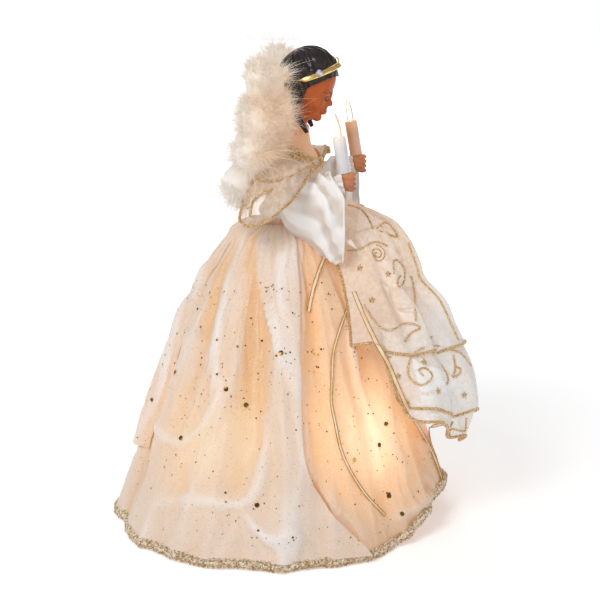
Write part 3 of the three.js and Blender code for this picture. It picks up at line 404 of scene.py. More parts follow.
class Finish:
    """A material being written: its principled shader, and one method that adds any other node."""

    def __init__(self, name, base, **constants):
        self.material = bpy.data.materials.new(name)
        self.material.use_nodes = True
        self.nodes = self.material.node_tree.nodes
        self.shader = self.nodes["Principled BSDF"]
        self.set("Base Color", base)
        for socket, value in constants.items():
            self.set(socket.replace("_", " "), value)

    def set(self, socket, value):
        self.join(self.shader.inputs[socket], value)

    def join(self, socket, value):
        if isinstance(value, Tone):
            self.material.node_tree.links.new(value.socket, socket)
        elif socket.type == "RGBA" and len(value) == 3:
            socket.default_value = (*value, 1)
        else:
            socket.default_value = value

    def node(self, kind, settings, sockets, output=0):
        """A node of this kind, with its settings made first and its sockets given values or tones."""
        made = self.nodes.new(kind)
        for name, value in settings.items():
            if name == "stops":
                self.set_stops(made.color_ramp, value)
            else:
                setattr(made, name, value)
        for name, value in sockets.items():
            self.join(made.inputs[name], value)
        return Tone(self, made.outputs[output])

    def math(self, operation, *values):
        return self.node("ShaderNodeMath", {"operation": operation}, dict(enumerate(values)))

    def vector(self, operation, *values, output="Vector"):
        return self.node("ShaderNodeVectorMath", {"operation": operation}, dict(enumerate(values)), output)

    def set_stops(self, ramp, stops):
        while len(ramp.elements) < len(stops):
            ramp.elements.new(0.5)
        for element, (position, value) in zip(ramp.elements, stops):
            element.position = position
            element.color = (*value, 1)

    def where(self):
        """The place on the object, in metres."""
        return self.node("ShaderNodeTexCoord", {}, {}, "Object")

    def marked(self, name):
        """The values that were kept on the piece's points."""
        return self.node("ShaderNodeAttribute", {"attribute_name": name}, {}, "Fac")

    def stretched(self, scale, vector=None):
        """A place with each axis scaled."""
        return self.vector("MULTIPLY", vector or self.where(), scale)

    def noise(self, scale, vector=None, detail=3.0, roughness=0.55):
        sockets = {"Vector": vector or self.where(), "Scale": scale, "Detail": detail, "Roughness": roughness}
        return self.node("ShaderNodeTexNoise", {}, sockets)

    def patches(self, scale, detail=3.0, low=0.3, high=0.7, vector=None):
        """Soft patches of noise, as shares."""
        return self.noise(scale, vector, detail).eased(low, high)

    def cells(self, scale, output="Distance"):
        return self.node("ShaderNodeTexVoronoi", {}, {"Vector": self.where(), "Scale": scale}, output)

    def specks(self, scale):
        """A random share for each small cell."""
        return self.part(self.cells(scale, "Color"))

    def mixed(self, mask, low, high):
        """One colour where the mask is 0 and another where it is 1."""
        return self.node("ShaderNodeMix", {"data_type": "RGBA"}, {0: mask, 6: low, 7: high}, 2)

    def part(self, colour, channel=0):
        return self.node("ShaderNodeSeparateColor", {}, {0: colour}, channel)

    def graded(self, stops, mask):
        """The colours of a ramp where the mask is at each of its stops."""
        return self.node("ShaderNodeValToRGB", {"stops": stops}, {0: mask})

    def height_of(self, axis="Z"):
        """The place along one axis, in metres."""
        return self.node("ShaderNodeSeparateXYZ", {}, {0: self.where()}, axis)

    def lit(self, tone, strength):
        """One tone for the surface and for a faint painted glow that it gives off in the same tone."""
        self.set("Base Color", tone)
        self.set("Emission Color", tone)
        self.set("Emission Strength", strength)

    def bump(self, height, strength, distance):
        sockets = {"Height": height, "Strength": strength, "Distance": distance}
        self.set("Normal", self.node("ShaderNodeBump", {}, sockets))

    def nearness(self, points, reach):
        """A share that falls off round each point."""
        total = None
        for point in points:
            away = self.vector("DISTANCE", self.where(), tuple(point), output="Value")
            sockets = {"Value": away, "From Min": reach, "From Max": 0.0}
            near = self.node("ShaderNodeMapRange", {"interpolation_type": "SMOOTHERSTEP"}, sockets)
            total = near if total is None else total + near
        return total

    def within(self, middle, radii):
        """A soft mask of a mass of the head, given as shares of its height before it bowed."""
        offset = self.vector("SUBTRACT", self.where(), tuple(bowed([0, 0, 0])))
        sockets = {"Vector": offset, "Angle": -HEAD_BOW}
        upright = self.node("ShaderNodeVectorRotate", {"rotation_type": "X_AXIS"}, sockets)
        away = self.vector("SUBTRACT", upright, tuple(HEAD_HEIGHT * np.array(middle)))
        scaled = self.stretched(tuple(1 / (HEAD_HEIGHT * r) for r in radii), away)
        reach = self.vector("LENGTH", scaled, output="Value")
        return 1 - reach.eased(0.75, 1.05)


def finish_once(make):
    """Keeps a finish after it is first made, under its function's name."""

    def made():
        name = "topper_" + make.__name__
        return bpy.data.materials.get(name) or make(name).material

    return made


def dress():
    return bpy.context.scene.topper_dress


def doll():
    return bpy.context.scene.topper_doll


def wings():
    return bpy.context.scene.topper_wings


# Finishes of this topper

BLACK = (0, 0, 0)
# Painted candle light on satin near the candle lamps
CANDLE_LIGHT_TONE = (0.92, 0.80, 0.68)
LAMP_LIT = (0.96, 0.60, 0.30)
LAMP_BRIGHT = (1.0, 0.82, 0.58)
LAMP_CORE = (1.0, 0.76, 0.47)
PALE_SPECKS = (0.98, 0.95, 0.90)
LAMP_REACH = 0.1
CANDLE_REACH = 0.06
SATIN = {"Roughness": 0.28, "Sheen_Weight": 0.3, "Sheen_Roughness": 0.35}
PLEATED = {"Sheen_Weight": 0.2, "Sheen_Roughness": 0.4}


def darker(tone, part):
    return tuple(c * part for c in tone)


def middles_of(names):
    boxes = [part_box(name) for name in names]
    return [(low + high) / 2 for low, high in boxes]


def skirt_lamps():
    """The names of the lamps under the skirt."""
    return [name for name in frame["nodes"] if name.startswith("skirt_lamp_") and "holder" not in name]


def candle_tips():
    return middles_of("candle_lamp_glass_" + side for side, _ in SIDES)


def add_glow(finish, strength):
    """Warm light of the lamps, brightest in front of each one and dimmer in long patches."""
    thinned = finish.patches(24.0, vector=finish.stretched((1, 1, 0.35)))
    lamps = middles_of(skirt_lamps())
    low = [lamp for lamp in lamps if lamp[2] < dress().waist_height / 2]
    high = [lamp for lamp in lamps if lamp[2] >= dress().waist_height / 2]
    near = finish.nearness(low, LAMP_REACH) * 1.1 + finish.nearness(high, LAMP_REACH) * 0.35
    glow = ((0.14 + near) * (0.74 + 0.26 * thinned)).math("MINIMUM", 1.0)
    tint = finish.mixed(glow.eased(0.35, 1.0), dress().glow, LAMP_CORE)
    finish.set("Emission Color", finish.mixed(glow, BLACK, tint))
    finish.set("Emission Strength", strength)
    return glow


def weave_of(finish, threads=2600.0):
    """Fine threads of a cloth, up and across."""
    sockets = {"Scale": threads / 4, "Distortion": 0.4}
    across, along = (finish.node("ShaderNodeTexWave", {"bands_direction": axis}, sockets) for axis in "ZY")
    return across * 0.5 + along * 0.5


def glitter_of(finish, scale, kept):
    """A mask of fine glitter, each speck at its own place."""
    distance = finish.cells(scale)
    chance = finish.part(finish.cells(scale, "Color"), 1)
    return (distance < 0.34) * (chance > 1 - kept)


def pleated(finish, valley, ridge, warmth):
    """The skirt's cloth: painted shade, peach, in the valleys of its folds, a painted highlight of pale satin
    on their ridges, painted lamp light that is strongest in the valleys, and glitter.
    """
    drift = finish.patches(16.0, 4.0, vector=finish.stretched((1, 1, 0.3)))
    crushed = finish.noise(70.0, finish.stretched((1, 1, 0.45)), detail=4.0, roughness=0.6)
    # The fold mark places the painted shade in the valleys and the painted highlight on the ridges
    raised = finish.marked("fold") * 0.7 + drift * 0.3
    tint = finish.mixed(raised.eased(0.06, 0.46), dress().cream, valley)
    tint = finish.mixed(raised.eased(0.45, 0.85), tint, ridge)
    glow = add_glow(finish, dress().glow_strength * warmth)
    # Painted lamp light, stronger in the valleys of the folds
    painted_lamp_light = (glow * (1.15 - 0.4 * raised)).math("MINIMUM", 1.0)
    lit = finish.mixed(painted_lamp_light * 0.7, tint, LAMP_LIT)
    lit = finish.mixed(glow.eased(0.55, 1.0) * 0.8, lit, LAMP_BRIGHT)
    pale, dark = glitter_of(finish, 760.0, 0.3), glitter_of(finish, 700.0, 0.16)
    lit = finish.mixed(pale * 0.6, lit, PALE_SPECKS)
    finish.set("Base Color", finish.mixed(dark * 0.45, lit, dress().gold))
    finish.set("Roughness", 0.36 - 0.12 * pale)
    finish.bump(crushed + 0.1 * (weave_of(finish) * 0.4 + pale + dark), 0.6, 0.0016)
    return finish


@finish_once
def skirt_satin(name):
    halfway = mix(np.array(dress().cream), np.array(dress().robe), 0.5)
    return pleated(Finish(name, dress().cream, **PLEATED), halfway, dress().robe, 1.35)


@finish_once
def glitter_cloth(name):
    return pleated(Finish(name, dress().robe, **PLEATED), dress().robe, dress().shine, 0.32)


def crinkle(finish):
    """The small creases and threads of white satin."""
    finish.bump(finish.noise(85.0, detail=4.0) + 0.1 * weave_of(finish), 0.5, 0.0014)
    return finish


@finish_once
def white_satin(name):
    finish = Finish(name, dress().white, **SATIN)
    drift = finish.patches(45.0)
    # Painted light of the candle lamps: the satin turns warmer near the candles and gives a faint painted
    # glow
    painted_lamp_light = finish.nearness(candle_tips(), CANDLE_REACH) * 0.3
    finish.lit(finish.mixed(painted_lamp_light, dress().white, CANDLE_LIGHT_TONE), 0.1)
    cool = finish.mixed(drift, darker(dress().white, 0.9), dress().white)
    finish.set("Base Color", finish.mixed(painted_lamp_light, cool, CANDLE_LIGHT_TONE))
    finish.set("Roughness", 0.28 + 0.1 * drift)
    return crinkle(finish)


@finish_once
def sleeve_satin(name):
    """White satin, with painted shade, darker and warmer, in the hollows of its folds, a painted highlight on
    their crests, painted candle light near the candles and a faint painted glow.
    """
    finish = Finish(name, dress().white, **SATIN)
    tone = finish.mixed(finish.marked("fold").eased(0.1, 0.75), (0.69, 0.60, 0.53), (0.92, 0.89, 0.87))
    finish.lit(finish.mixed(finish.nearness(candle_tips(), CANDLE_REACH) * 0.3, tone, CANDLE_LIGHT_TONE), 0.1)
    return crinkle(finish)


@finish_once
def gold_satin(name):
    """The satin of the flat cords, with soft patches of painted sheen and a faint painted glow."""
    finish = Finish(name, (0.80, 0.60, 0.36), Roughness=0.26, Sheen_Weight=0.2)
    finish.lit(finish.mixed(finish.patches(60.0, 2.0), (0.92, 0.60, 0.32), (0.98, 0.84, 0.62)), 0.1)
    finish.bump(weave_of(finish), 0.2, 0.0003)
    return finish


def sheer(name, cover, tone, light, crowded=1.0):
    """Organza: threads that cover a share of it, with a faint painted glow for the light that passes through
    it, and a little glitter.
    """
    finish = Finish(name, tone, Roughness=0.5, Sheen_Weight=0.3, Sheen_Roughness=0.3)
    crossed = finish.patches(260.0, 4.0, 0.25, 0.75)
    layered = finish.patches(34.0, 3.0, 0.35, 0.65, finish.stretched((1, 1, 0.6)))
    gathered = finish.height_of().eased(0.13, 0.235) * crowded
    fine = glitter_of(finish, 700.0, 0.05)
    ahead = 1 - finish.height_of("Y").eased(-0.155, -0.09)
    tint = finish.mixed(ahead, finish.mixed(gathered, tone, (0.86, 0.66, 0.48)), (0.88, 0.86, 0.84))
    tint = finish.mixed(finish.height_of("Y").eased(0.0, 0.026) * 0.7, tint, (0.50, 0.29, 0.12))
    finish.lit(tint, light)
    threads = finish.mixed(crossed * 0.4, tint, (0.95, 0.92, 0.88))
    finish.set("Base Color", finish.mixed(fine, threads, dress().gold))
    covered = cover + 0.1 * crossed + 0.1 * layered + 0.24 * gathered + 0.4 * fine + 0.16 * ahead
    finish.set("Alpha", covered.math("MINIMUM", 1.0))
    finish.bump(weave_of(finish, 2200.0), 0.2, 0.0003)
    return finish


@finish_once
def organza(name):
    return sheer(name, 0.40, dress().organza, 0.15)


@finish_once
def layered_organza(name):
    return sheer(name, 0.58, dress().organza, 0.12)


@finish_once
def drape_organza(name):
    return sheer(name, 0.62, (0.68, 0.48, 0.33), 0.06, 0.0)


@finish_once
def glitter_line(name):
    finish = Finish(name, dress().gold, Metallic=0.45)
    grain = finish.specks(2100.0)
    stops = [
        (0.0, (0.42, 0.22, 0.07)), (0.45, (0.66, 0.40, 0.17)),
        (0.8, (0.88, 0.66, 0.36)), (1.0, (1.0, 0.93, 0.78)),
    ]
    # A faint painted glow on the glitter
    finish.lit(finish.graded(stops, grain), 0.12)
    finish.set("Roughness", 0.22 + 0.35 * grain)
    finish.bump(finish.cells(2100.0), 0.8, 0.0005)
    return finish


def plaited(name, *stops):
    """Metal thread with bright and dark specks, from its darkest tone to its brightest, and a faint painted
    glow.
    """
    finish = Finish(name, dress().braid, Metallic=0.25)
    sockets = {"Scale": 900.0, "Distortion": 2.0, "Detail": 2.0}
    thread = finish.node("ShaderNodeTexWave", {"bands_direction": "DIAGONAL"}, sockets)
    finish.lit(finish.graded(stops, finish.specks(720.0) * 0.85 + thread * 0.2), 0.12)
    finish.set("Roughness", 0.3 + 0.25 * thread)
    finish.bump(thread, 0.6, 0.0004)
    return finish


@finish_once
def metal_braid(name):
    shade, middle = (0.24, 0.14, 0.06), (0.62, 0.42, 0.22)
    return plaited(name, (0.0, shade), (0.35, middle), (0.65, tuple(dress().braid)), (0.9, (1.0, 0.95, 0.84)))


@finish_once
def bright_braid(name):
    shade, middle = (0.40, 0.20, 0.05), (0.80, 0.46, 0.16)
    return plaited(name, (0.0, shade), (0.3, middle), (0.6, (0.93, 0.58, 0.24)), (0.9, (1.0, 0.93, 0.74)))


@finish_once
def sequin(name):
    finish = Finish(name, dress().gold, Metallic=1.0)
    own = finish.specks(160.0)
    stops = [(0.0, (0.10, 0.05, 0.015)), (0.6, (0.26, 0.15, 0.045)), (1.0, (0.85, 0.60, 0.24))]
    finish.set("Base Color", finish.graded(stops, own))
    finish.set("Roughness", 0.2 + 0.2 * own)
    return finish


def patchy(name, base, patch, tones, roughness=None, bump=None, **constants):
    """A finish whose soft patches blend two tones, and may change how rough it is and raise it."""
    finish = Finish(name, base, **constants)
    share = finish.patches(**patch)
    finish.set("Base Color", finish.mixed(share, *tones))
    if roughness:
        finish.set("Roughness", roughness[0] + roughness[1] * share)
    if bump:
        finish.bump(share, *bump)
    return finish


@finish_once
def cord_edge(name):
    patch = {"scale": 300.0, "detail": 2.0, "low": 0.35, "high": 0.65}
    tones = (0.36, 0.20, 0.06), (0.60, 0.38, 0.15)
    return patchy(name, (0.46, 0.27, 0.09), patch, tones, Metallic=0.3, Roughness=0.3)


@finish_once
def bright_gold(name):
    tones = (0.90, 0.66, 0.26), (0.74, 0.48, 0.14)
    patch = {"scale": 320.0, "detail": 4.0}
    return patchy(name, (0.86, 0.60, 0.20), patch, tones, (0.16, 0.16), (0.1, 0.0002), Metallic=1.0)


@finish_once
def cut_gem(name):
    tones = (0.24, 0.20, 0.52), (0.80, 0.78, 0.95)
    cut = {"Roughness": 0.06, "IOR": 1.7, "Coat_Weight": 1.0, "Specular_IOR_Level": 0.9}
    return patchy(name, doll().gem, {"scale": 420.0, "detail": 2.0}, tones, None, (0.15, 0.0003), **cut)


def moulded(name, skin, roughness, gloss):
    """Moulded skin with faint mottling."""
    look = {"patch": {"scale": 140.0}, "tones": (darker(skin, 0.82), skin), "bump": (0.06, 0.0003)}
    return patchy(name, skin, roughness=(roughness, 0.1), Specular_IOR_Level=gloss, **look)


@finish_once
def doll_skin(name):
    """The hands, with painted light of the candles on them."""
    finish = moulded(name, doll().hands, 0.4, 0.35)
    finish.set("Emission Color", finish.mixed(finish.nearness(candle_tips(), 0.075), BLACK, dress().glow))
    finish.set("Emission Strength", 0.42)
    return finish


@finish_once
def doll_face(name):
    """The skin with its painted lips and shaded lids."""
    finish = moulded(name, doll().skin, 0.42, 0.3)
    tone = finish.mixed(finish.patches(140.0), darker(doll().skin, 0.82), doll().skin)
    tone = finish.mixed(finish.within((0, -0.292, 0.254), (0.062, 0.06, 0.034)) * 0.8, tone, doll().lips)
    left, right = (finish.within((side * 0.1, -0.25, 0.452), (0.06, 0.06, 0.03)) for side in (-1, 1))
    finish.set("Base Color", finish.mixed((left + right) * 0.35, tone, (0.10, 0.035, 0.02)))
    return finish


@finish_once
def neck_skin(name):
    """The neck and chest, which the candles light warmly from in front."""
    finish = Finish(name, doll().hands, Roughness=0.45, Specular_IOR_Level=0.3)
    shade = finish.height_of().eased(0.312, 0.336)
    finish.lit(finish.mixed(shade, (0.95, 0.56, 0.33), (0.66, 0.26, 0.12)), 0.16)
    finish.bump(finish.noise(140.0, detail=3.0), 0.06, 0.0003)
    return finish


@finish_once
def sculpted_hair(name):
    finish = Finish(name, doll().hair, Specular_IOR_Level=0.3, Coat_Weight=0.16, Coat_Roughness=0.18)
    lock = finish.patches(110.0, 5.0, vector=finish.stretched((1, 2.5, 1)))
    finish.set("Base Color", finish.mixed(lock, doll().hair, (0.030, 0.016, 0.013)))
    finish.set("Roughness", 0.26 + 0.16 * lock)
    finish.bump(lock, 0.25, 0.0006)
    return finish


@finish_once
def candle_white(name):
    """White tube that the lamp lights from inside near its top."""
    finish = Finish(name, doll().candle, Roughness=0.3, Coat_Weight=0.2)
    finish.set("Emission Color", finish.mixed(finish.nearness(candle_tips(), 0.022), BLACK, doll().flame))
    finish.set("Emission Strength", 0.4)
    worn = finish.patches(220.0, 3.0, 0.35, 0.65)
    # Painted warm lamp light on the side of the tube that faces the doll's middle
    inward = 1 - finish.height_of("X").math("ABSOLUTE").eased(HAND[0] - 0.0045, HAND[0] + 0.002)
    plain = finish.mixed(worn, darker(doll().candle, 0.96), doll().candle)
    finish.set("Base Color", finish.mixed(inward * 0.95, plain, (0.86, 0.48, 0.28)))
    finish.bump(worn, 0.05, 0.0002)
    return finish


@finish_once
def lamp_glass(name):
    glass = {"Roughness": 0.03, "IOR": 1.45, "Transmission_Weight": 0.9, "Emission_Strength": 0.12}
    finish = Finish(name, (1.0, 0.96, 0.9), **glass)
    # Painted shade: the glass darkens to amber towards its outline, where it turns away from the view
    rim = finish.node("ShaderNodeLayerWeight", {}, {"Blend": 0.4}, "Facing")
    finish.set("Base Color", finish.mixed(rim.eased(0.35, 0.95), (1.0, 0.98, 0.95), (0.60, 0.40, 0.26)))
    finish.set("Emission Color", doll().flame)
    finish.bump(finish.noise(300.0, detail=2.0), 0.08, 0.0003)
    return finish


@finish_once
def filament_light(name):
    finish = Finish(name, (1.0, 0.8, 0.5), Roughness=0.5, Emission_Strength=2.4)
    hot = finish.patches(500.0, 1.0, 0.2, 0.8)
    finish.set("Emission Color", finish.mixed(hot, (1.0, 0.66, 0.36), (1.0, 0.90, 0.72)))
    return finish


def plastic(name, base, roughness=0.4):
    """Moulded plastic with a faint grain."""
    patch = {"scale": 60.0, "detail": 4.0, "low": 0.35, "high": 0.65}
    finish = patchy(name, base, patch, (darker(base, 0.94), base), (roughness, 0.12))
    finish.bump(finish.noise(900.0), 0.08, 0.0002)
    return finish


@finish_once
def white_plastic(name):
    return plastic(name, (0.80, 0.78, 0.74))


@finish_once
def cream_plastic(name):
    return plastic(name, (0.74, 0.70, 0.62), 0.5)


@finish_once
def marabou(name):
    """Soft down: painted warm lamp light and shade make it tan near the doll and lower down, white at the
    wing's back, with a faint painted glow and some barbs paler than others.
    """
    finish = Finish(name, wings().tips, Roughness=0.85, Sheen_Weight=0.4, Sheen_Roughness=0.6)
    back = finish.height_of("Y").eased(-0.012, 0.042)
    high = finish.height_of().eased(0.352, 0.392)
    inner = ((1 - back) * (1 - 0.6 * high) * 0.95 + finish.patches(50.0) * 0.22 - 0.10).math("MAXIMUM", 0.0)
    tone = finish.mixed(inner, wings().tips, wings().down)
    finish.lit(finish.mixed(finish.marked("strand") * 0.4, tone, (0.97, 0.95, 0.93)), 0.1)
    return finish


@finish_once
def floor_paper(name):
    finish = Finish(name, bpy.context.scene.topper_stage.floor, Roughness=0.9, Specular_IOR_Level=0.1)
    finish.bump(finish.noise(30.0, detail=2.0), 0.02, 0.001)
    kinds = "Camera", "Glossy", "Transmission"
    camera, glossy, cleared = (finish.node("ShaderNodeLightPath", {}, {}, f"Is {kind} Ray") for kind in kinds)
    seen = camera.math("MAXIMUM", glossy).math("MAXIMUM", cleared)
    away = finish.vector("LENGTH", finish.where(), output="Value")
    white = 0.34 + 0.66 * away.eased(0.3, 1.3)
    finish.set("Emission Color", finish.mixed(seen * white, BLACK, (1, 1, 1)))
    finish.set("Emission Strength", 1.0)
    return finish


# The figure's own surfaces, from the same sizes as its frame

CLOTH = 0.0012
SEAT = 0.0003
TORSO_FOOT = 0.2363
TORSO_RISE = 0.0647
NECK_TOP = 0.329
NECK_RADIUS = 0.0085
HEAD_FORWARD = 0.013
HEAD_BOW = math.radians(20)
HEAD_HEIGHT = 0.060
BODICE_FACE = 0.0031
NECKLINE_DIP = 0.012
HEM_HEIGHT = 0.0014
TORSO_WIDTHS = [
    (0, 0.017), (0.4, 0.0187), (0.75, 0.0225), (1, 0.025), (1.09, 0.0195), (1.2, 0.01105), (1.3, 0.0085),
]
TORSO_DEPTHS = [(0, 0.0166), (0.4, 0.0166), (0.78, 0.0185), (1, 0.0148), (1.15, 0.0102), (1.3, 0.0085)]
TORSO_SHIFTS = [(0, 0), (0.2, 0), (0.45, -0.00455), (0.78, -0.013), (1.1, -0.013), (1.43, -0.013)]
SKIRT_FLARE = [
    (0, 0), (0.024, 0.14), (0.06, 0.21), (0.194, 0.42), (0.29, 0.53),
    (0.435, 0.635), (0.62, 0.757), (0.8, 0.85), (0.9, 0.93), (1, 1),
]
DROP_POWER = 1.5
FOLD_SHARES = [(0, 0), (0.05, 0.2), (0.15, 0.6), (0.4, 1), (0.8, 0.9), (1, 0.6)]
WAIST_RADIUS = 0.022
HEM_REACH = [
    (0, 0.96), (0.5, 0.95), (0.85, 0.98), (1.1, 1.01), (1.3, 0.99),
    (1.5, 1.02), (1.85, 1.045), (2.3, 1.045), (2.7, 1.0), (math.pi, 0.985),
]
ROBE_EDGES = [(0, 69), (0.3, 72), (0.6, 75), (0.77, 74), (0.88, 66), (0.92, 61), (0.965, 55), (1, 52)]
SKIRT_STEPS = 52
TRAIN_EDGE = TURN * 22 / SKIRT_STEPS


def on_torso(angle, rise, lift=0.0):
    """A place on the torso at a share of its rise, lifted off its skin."""
    wide = curve(TORSO_WIDTHS, rise) + lift
    deep = curve(TORSO_DEPTHS, rise) + lift
    height = TORSO_FOOT + TORSO_RISE * np.asarray(rise, float)
    return place(-wide * np.sin(angle), curve(TORSO_SHIFTS, rise) - deep * np.cos(angle), height)


def neckline(angle):
    """The neckline's share of the torso's rise, which dips at the front."""
    return 1.14 - NECKLINE_DIP / TORSO_RISE * ((1 + np.cos(angle)) / 2) ** 3


def gather(angle):
    return 0.6 * np.cos(13 * angle + 0.5) + 0.28 * np.cos(8 * angle + 2.1) + 0.12 * np.cos(5 * angle)


def creases(angle, share):
    """Finer folds: gathers at the waist, then soft ridges that wander and split on their way down."""
    wander = angle + 0.05 * np.sin(3 * angle + 5 * share) + 0.03 * np.sin(7 * angle - 3 * share)
    ridge = 1 - 2 * np.abs(np.sin(11.5 * wander + 1.3 * np.sin(4 * share))) ** 0.75
    fine = 1 - 2 * np.abs(np.sin(19.5 * wander + 2.2 * share + 0.8)) ** 0.8
    waist = np.cos(46 * angle) * (1 - smooth(0.05, 0.35, share))
    lower = smooth(0.1, 0.45, share)
    return 0.55 * ridge * lower + 0.3 * fine * lower + 0.45 * waist


def on_skirt(angle, share, lift=0.0):
    """A place on the skirt, lifted outwards by the cloth layers below."""
    angle, share = np.broadcast_arrays(np.asarray(angle, float), np.asarray(share, float))
    drop = share**DROP_POWER
    folds = dress().fold_depth * curve(FOLD_SHARES, drop) * gather(angle)
    folds = folds + dress().crease_depth * creases(angle, share)
    hem = dress().front_lift * smooth(0.75, 1.0, np.cos(angle)) + HEM_HEIGHT - 0.0009
    turned = np.abs(np.arctan2(np.sin(angle), np.cos(angle)))
    reach = mix(1, curve(HEM_REACH, turned), smooth(0.45, 1, share))
    drawn_in = 0.009 * smooth(0.75, 0.97, -np.cos(angle)) * np.sin(math.pi * share**0.8)
    radius = reach * mix(WAIST_RADIUS, dress().hem_radius, curve(SKIRT_FLARE, drop)) + folds - drawn_in
    height = mix(dress().waist_height, hem, drop)
    slope = 0.35 + 0.65 * share
    return around(angle, radius + lift * slope ** 0.2, height + lift * (1 - slope) * 0.5)


# Each ridge's way down the cloth, with its steep side: 1 towards the front, -1 towards the back, 0 neither
RIDGES = {
    "back_pleat": (1, [
        (247, 236), (241, 252), (236, 268), (230, 290), (224, 320), (218, 352), (219, 375), (222, 390),
    ]),
    "back_curl": (0, [(220, 378), (222, 390), (214, 412), (197, 435), (177, 441), (161, 430), (159, 417)]),
    "side_pleat": (-1, [
        (262, 240), (260, 262), (262, 290), (268, 312), (276, 335), (281, 356), (291, 380), (295, 404),
        (301, 445), (305, 462), (316, 482), (328, 501), (348, 519), (360, 536),
    ]),
    "edge_pleat": (1, [(299, 246), (301, 280), (302, 320), (302, 350)]),
    "panel_pleat": (0, [(283, 256), (281, 280), (284, 305), (290, 330)]),
    "waist_pleat": (1, [(231, 230), (221, 246), (212, 262), (204, 282), (197, 302)]),
    "foot_pleat": (0, [
        (161, 504), (180, 500), (202, 501), (224, 504), (243, 503), (258, 488), (266, 455), (266, 420),
    ]),
    "hem_pleat": (0, [(245, 514), (263, 534), (279, 542), (296, 537), (292, 552)]),
    "hem_panel": (0, [(424, 474), (432, 488), (421, 504), (402, 515), (385, 522)]),
    "front_pleat": (-1, [(345, 262), (349, 310), (352, 352), (362, 400), (384, 440), (404, 470)]),
    "far_pleat": (1, [(178, 300), (165, 350), (152, 395), (146, 430)]),
}
VALLEYS = {
    "waist_hollow": (0, [
        (255, 236), (254, 255), (252, 280), (252, 310), (254, 340), (257, 370), (259, 400), (258, 440),
    ]),
    "back_hollow": (0, [(240, 236), (233, 252), (224, 270), (216, 290), (210, 312), (206, 332)]),
    "front_hollow": (0, [(308, 250), (309, 290), (309, 330), (310, 370)]),
}
LINE_STEPS = 40
RIDGE_HEIGHT = 0.0045
CRUMPLE_DEPTH = 0.0014


def along_lines(flat, lines, surface, width):
    """How near each point is to some lines of the photograph, alike on both sides of the doll."""
    rise = np.zeros(len(flat))
    for steep, pixels in lines.values():
        near = smooth_path(seen_at(pixels, surface), LINE_STEPS)
        taper = np.sin(math.pi * np.linspace(0.08, 0.92, LINE_STEPS)) ** 0.6
        for path in (near, near * (-1, 1, 1)):
            away = np.linalg.norm(flat[:, None] - path[None], axis=-1)
            closest = away.argmin(axis=1)
            behind = np.clip((flat[:, 1] - path[closest, 1]) / width, -1, 1)
            wide = width * (1 + abs(steep) * 0.15 + 0.55 * steep * behind)
            share = away[np.arange(len(flat)), closest] / wide
            rise = np.maximum(rise, taper[closest] * np.exp(-(share**2)))
    return rise


def ridged(grid, surface, width):
    """A grid of cloth with the soft ridges and hollows of the photograph, and how raised each point is."""
    flat = grid.reshape(-1, 3)
    out = normals_of(grid, closed=True).reshape(-1, 3)
    rise = along_lines(flat, RIDGES, surface, width) - 0.7 * along_lines(flat, VALLEYS, surface, 1.3 * width)
    side = 1 if (out * flat * (1, 1, 0)).sum() > 0 else -1
    moved = flat + side * out * (RIDGE_HEIGHT * np.maximum(rise, -0.25))[:, None]
    return moved.reshape(grid.shape), rise.reshape(grid.shape[:2])


def fold_of(ridges, angle, share):
    """How raised each point of a skirt layer is, from 0 in a valley to 1 on a ridge: where its finish paints
    shade and where it paints a highlight.
    """
    main = curve(FOLD_SHARES, share**DROP_POWER) * gather(angle)
    return np.clip(0.42 + 0.28 * main + 0.22 * creases(angle, share) + 0.75 * ridges, 0, 1)


def crumpled(grid, depth, seed, closed=False):
    """A grid of cloth with soft diagonal crumples across its own normals."""
    stretched = grid * (1.0, 1.0, 0.45)
    stretched[..., 0] += 0.35 * grid[..., 2]
    bumps = rough(stretched, 0.017, seed) + 0.45 * rough(stretched, 0.0075, seed + 9)
    return grid + normals_of(grid, closed) * (depth * bumps)[..., None]


def share_at(height):
    """The share of the skirt's drop at a height."""
    return ((dress().waist_height - height) / (dress().waist_height - HEM_HEIGHT)) ** (1 / DROP_POWER)


def robe_edge(share):
    """The angle of the robe's front edge, which swings forward near the hem."""
    return np.radians(curve(ROBE_EDGES, share))


def robe_lift(angle, share):
    """The robe lies a layer above the skirt and its front edges stand off it."""
    inward = (np.minimum(angle, TURN - angle) - robe_edge(share)) * SKIRT_STEPS / TURN
    return dress().layer_lift + 0.006 * np.clip(1 - inward / 2, 0, 1) * smooth(0.08, 0.3, share)


# The cascade in front: its middle line, its spread and its ruffles

CASCADE_TOP = 0.262
CASCADE_DROP = 0.200
CASCADE_REACH = 0.160
CASCADE_LINE = [
    (0, 0.15, 0.035), (0.08, 0.26, 0), (0.16, 0.36, 0.004), (0.23, 0.46, 0.03), (0.29, 0.56, 0.068),
    (0.36, 0.63, 0.135), (0.44, 0.675, 0.225), (0.52, 0.70, 0.3), (0.6, 0.8, 0.39), (0.7, 0.87, 0.5),
    (0.78, 0.95, 0.6), (0.86, 1.01, 0.72), (0.93, 1.02, 0.83), (1, 0.96, 0.97),
]
CASCADE_SPREAD = [(0, 36), (0.35, 36), (0.72, 48), (0.8, 47), (1, 44)]


def skirt_reach(height):
    drop = np.clip((dress().waist_height - height) / (dress().waist_height - HEM_HEIGHT), 0, 1)
    reach = mix(WAIST_RADIUS, dress().hem_radius, curve(SKIRT_FLARE, drop))
    return reach + dress().fold_depth * curve(FOLD_SHARES, drop)


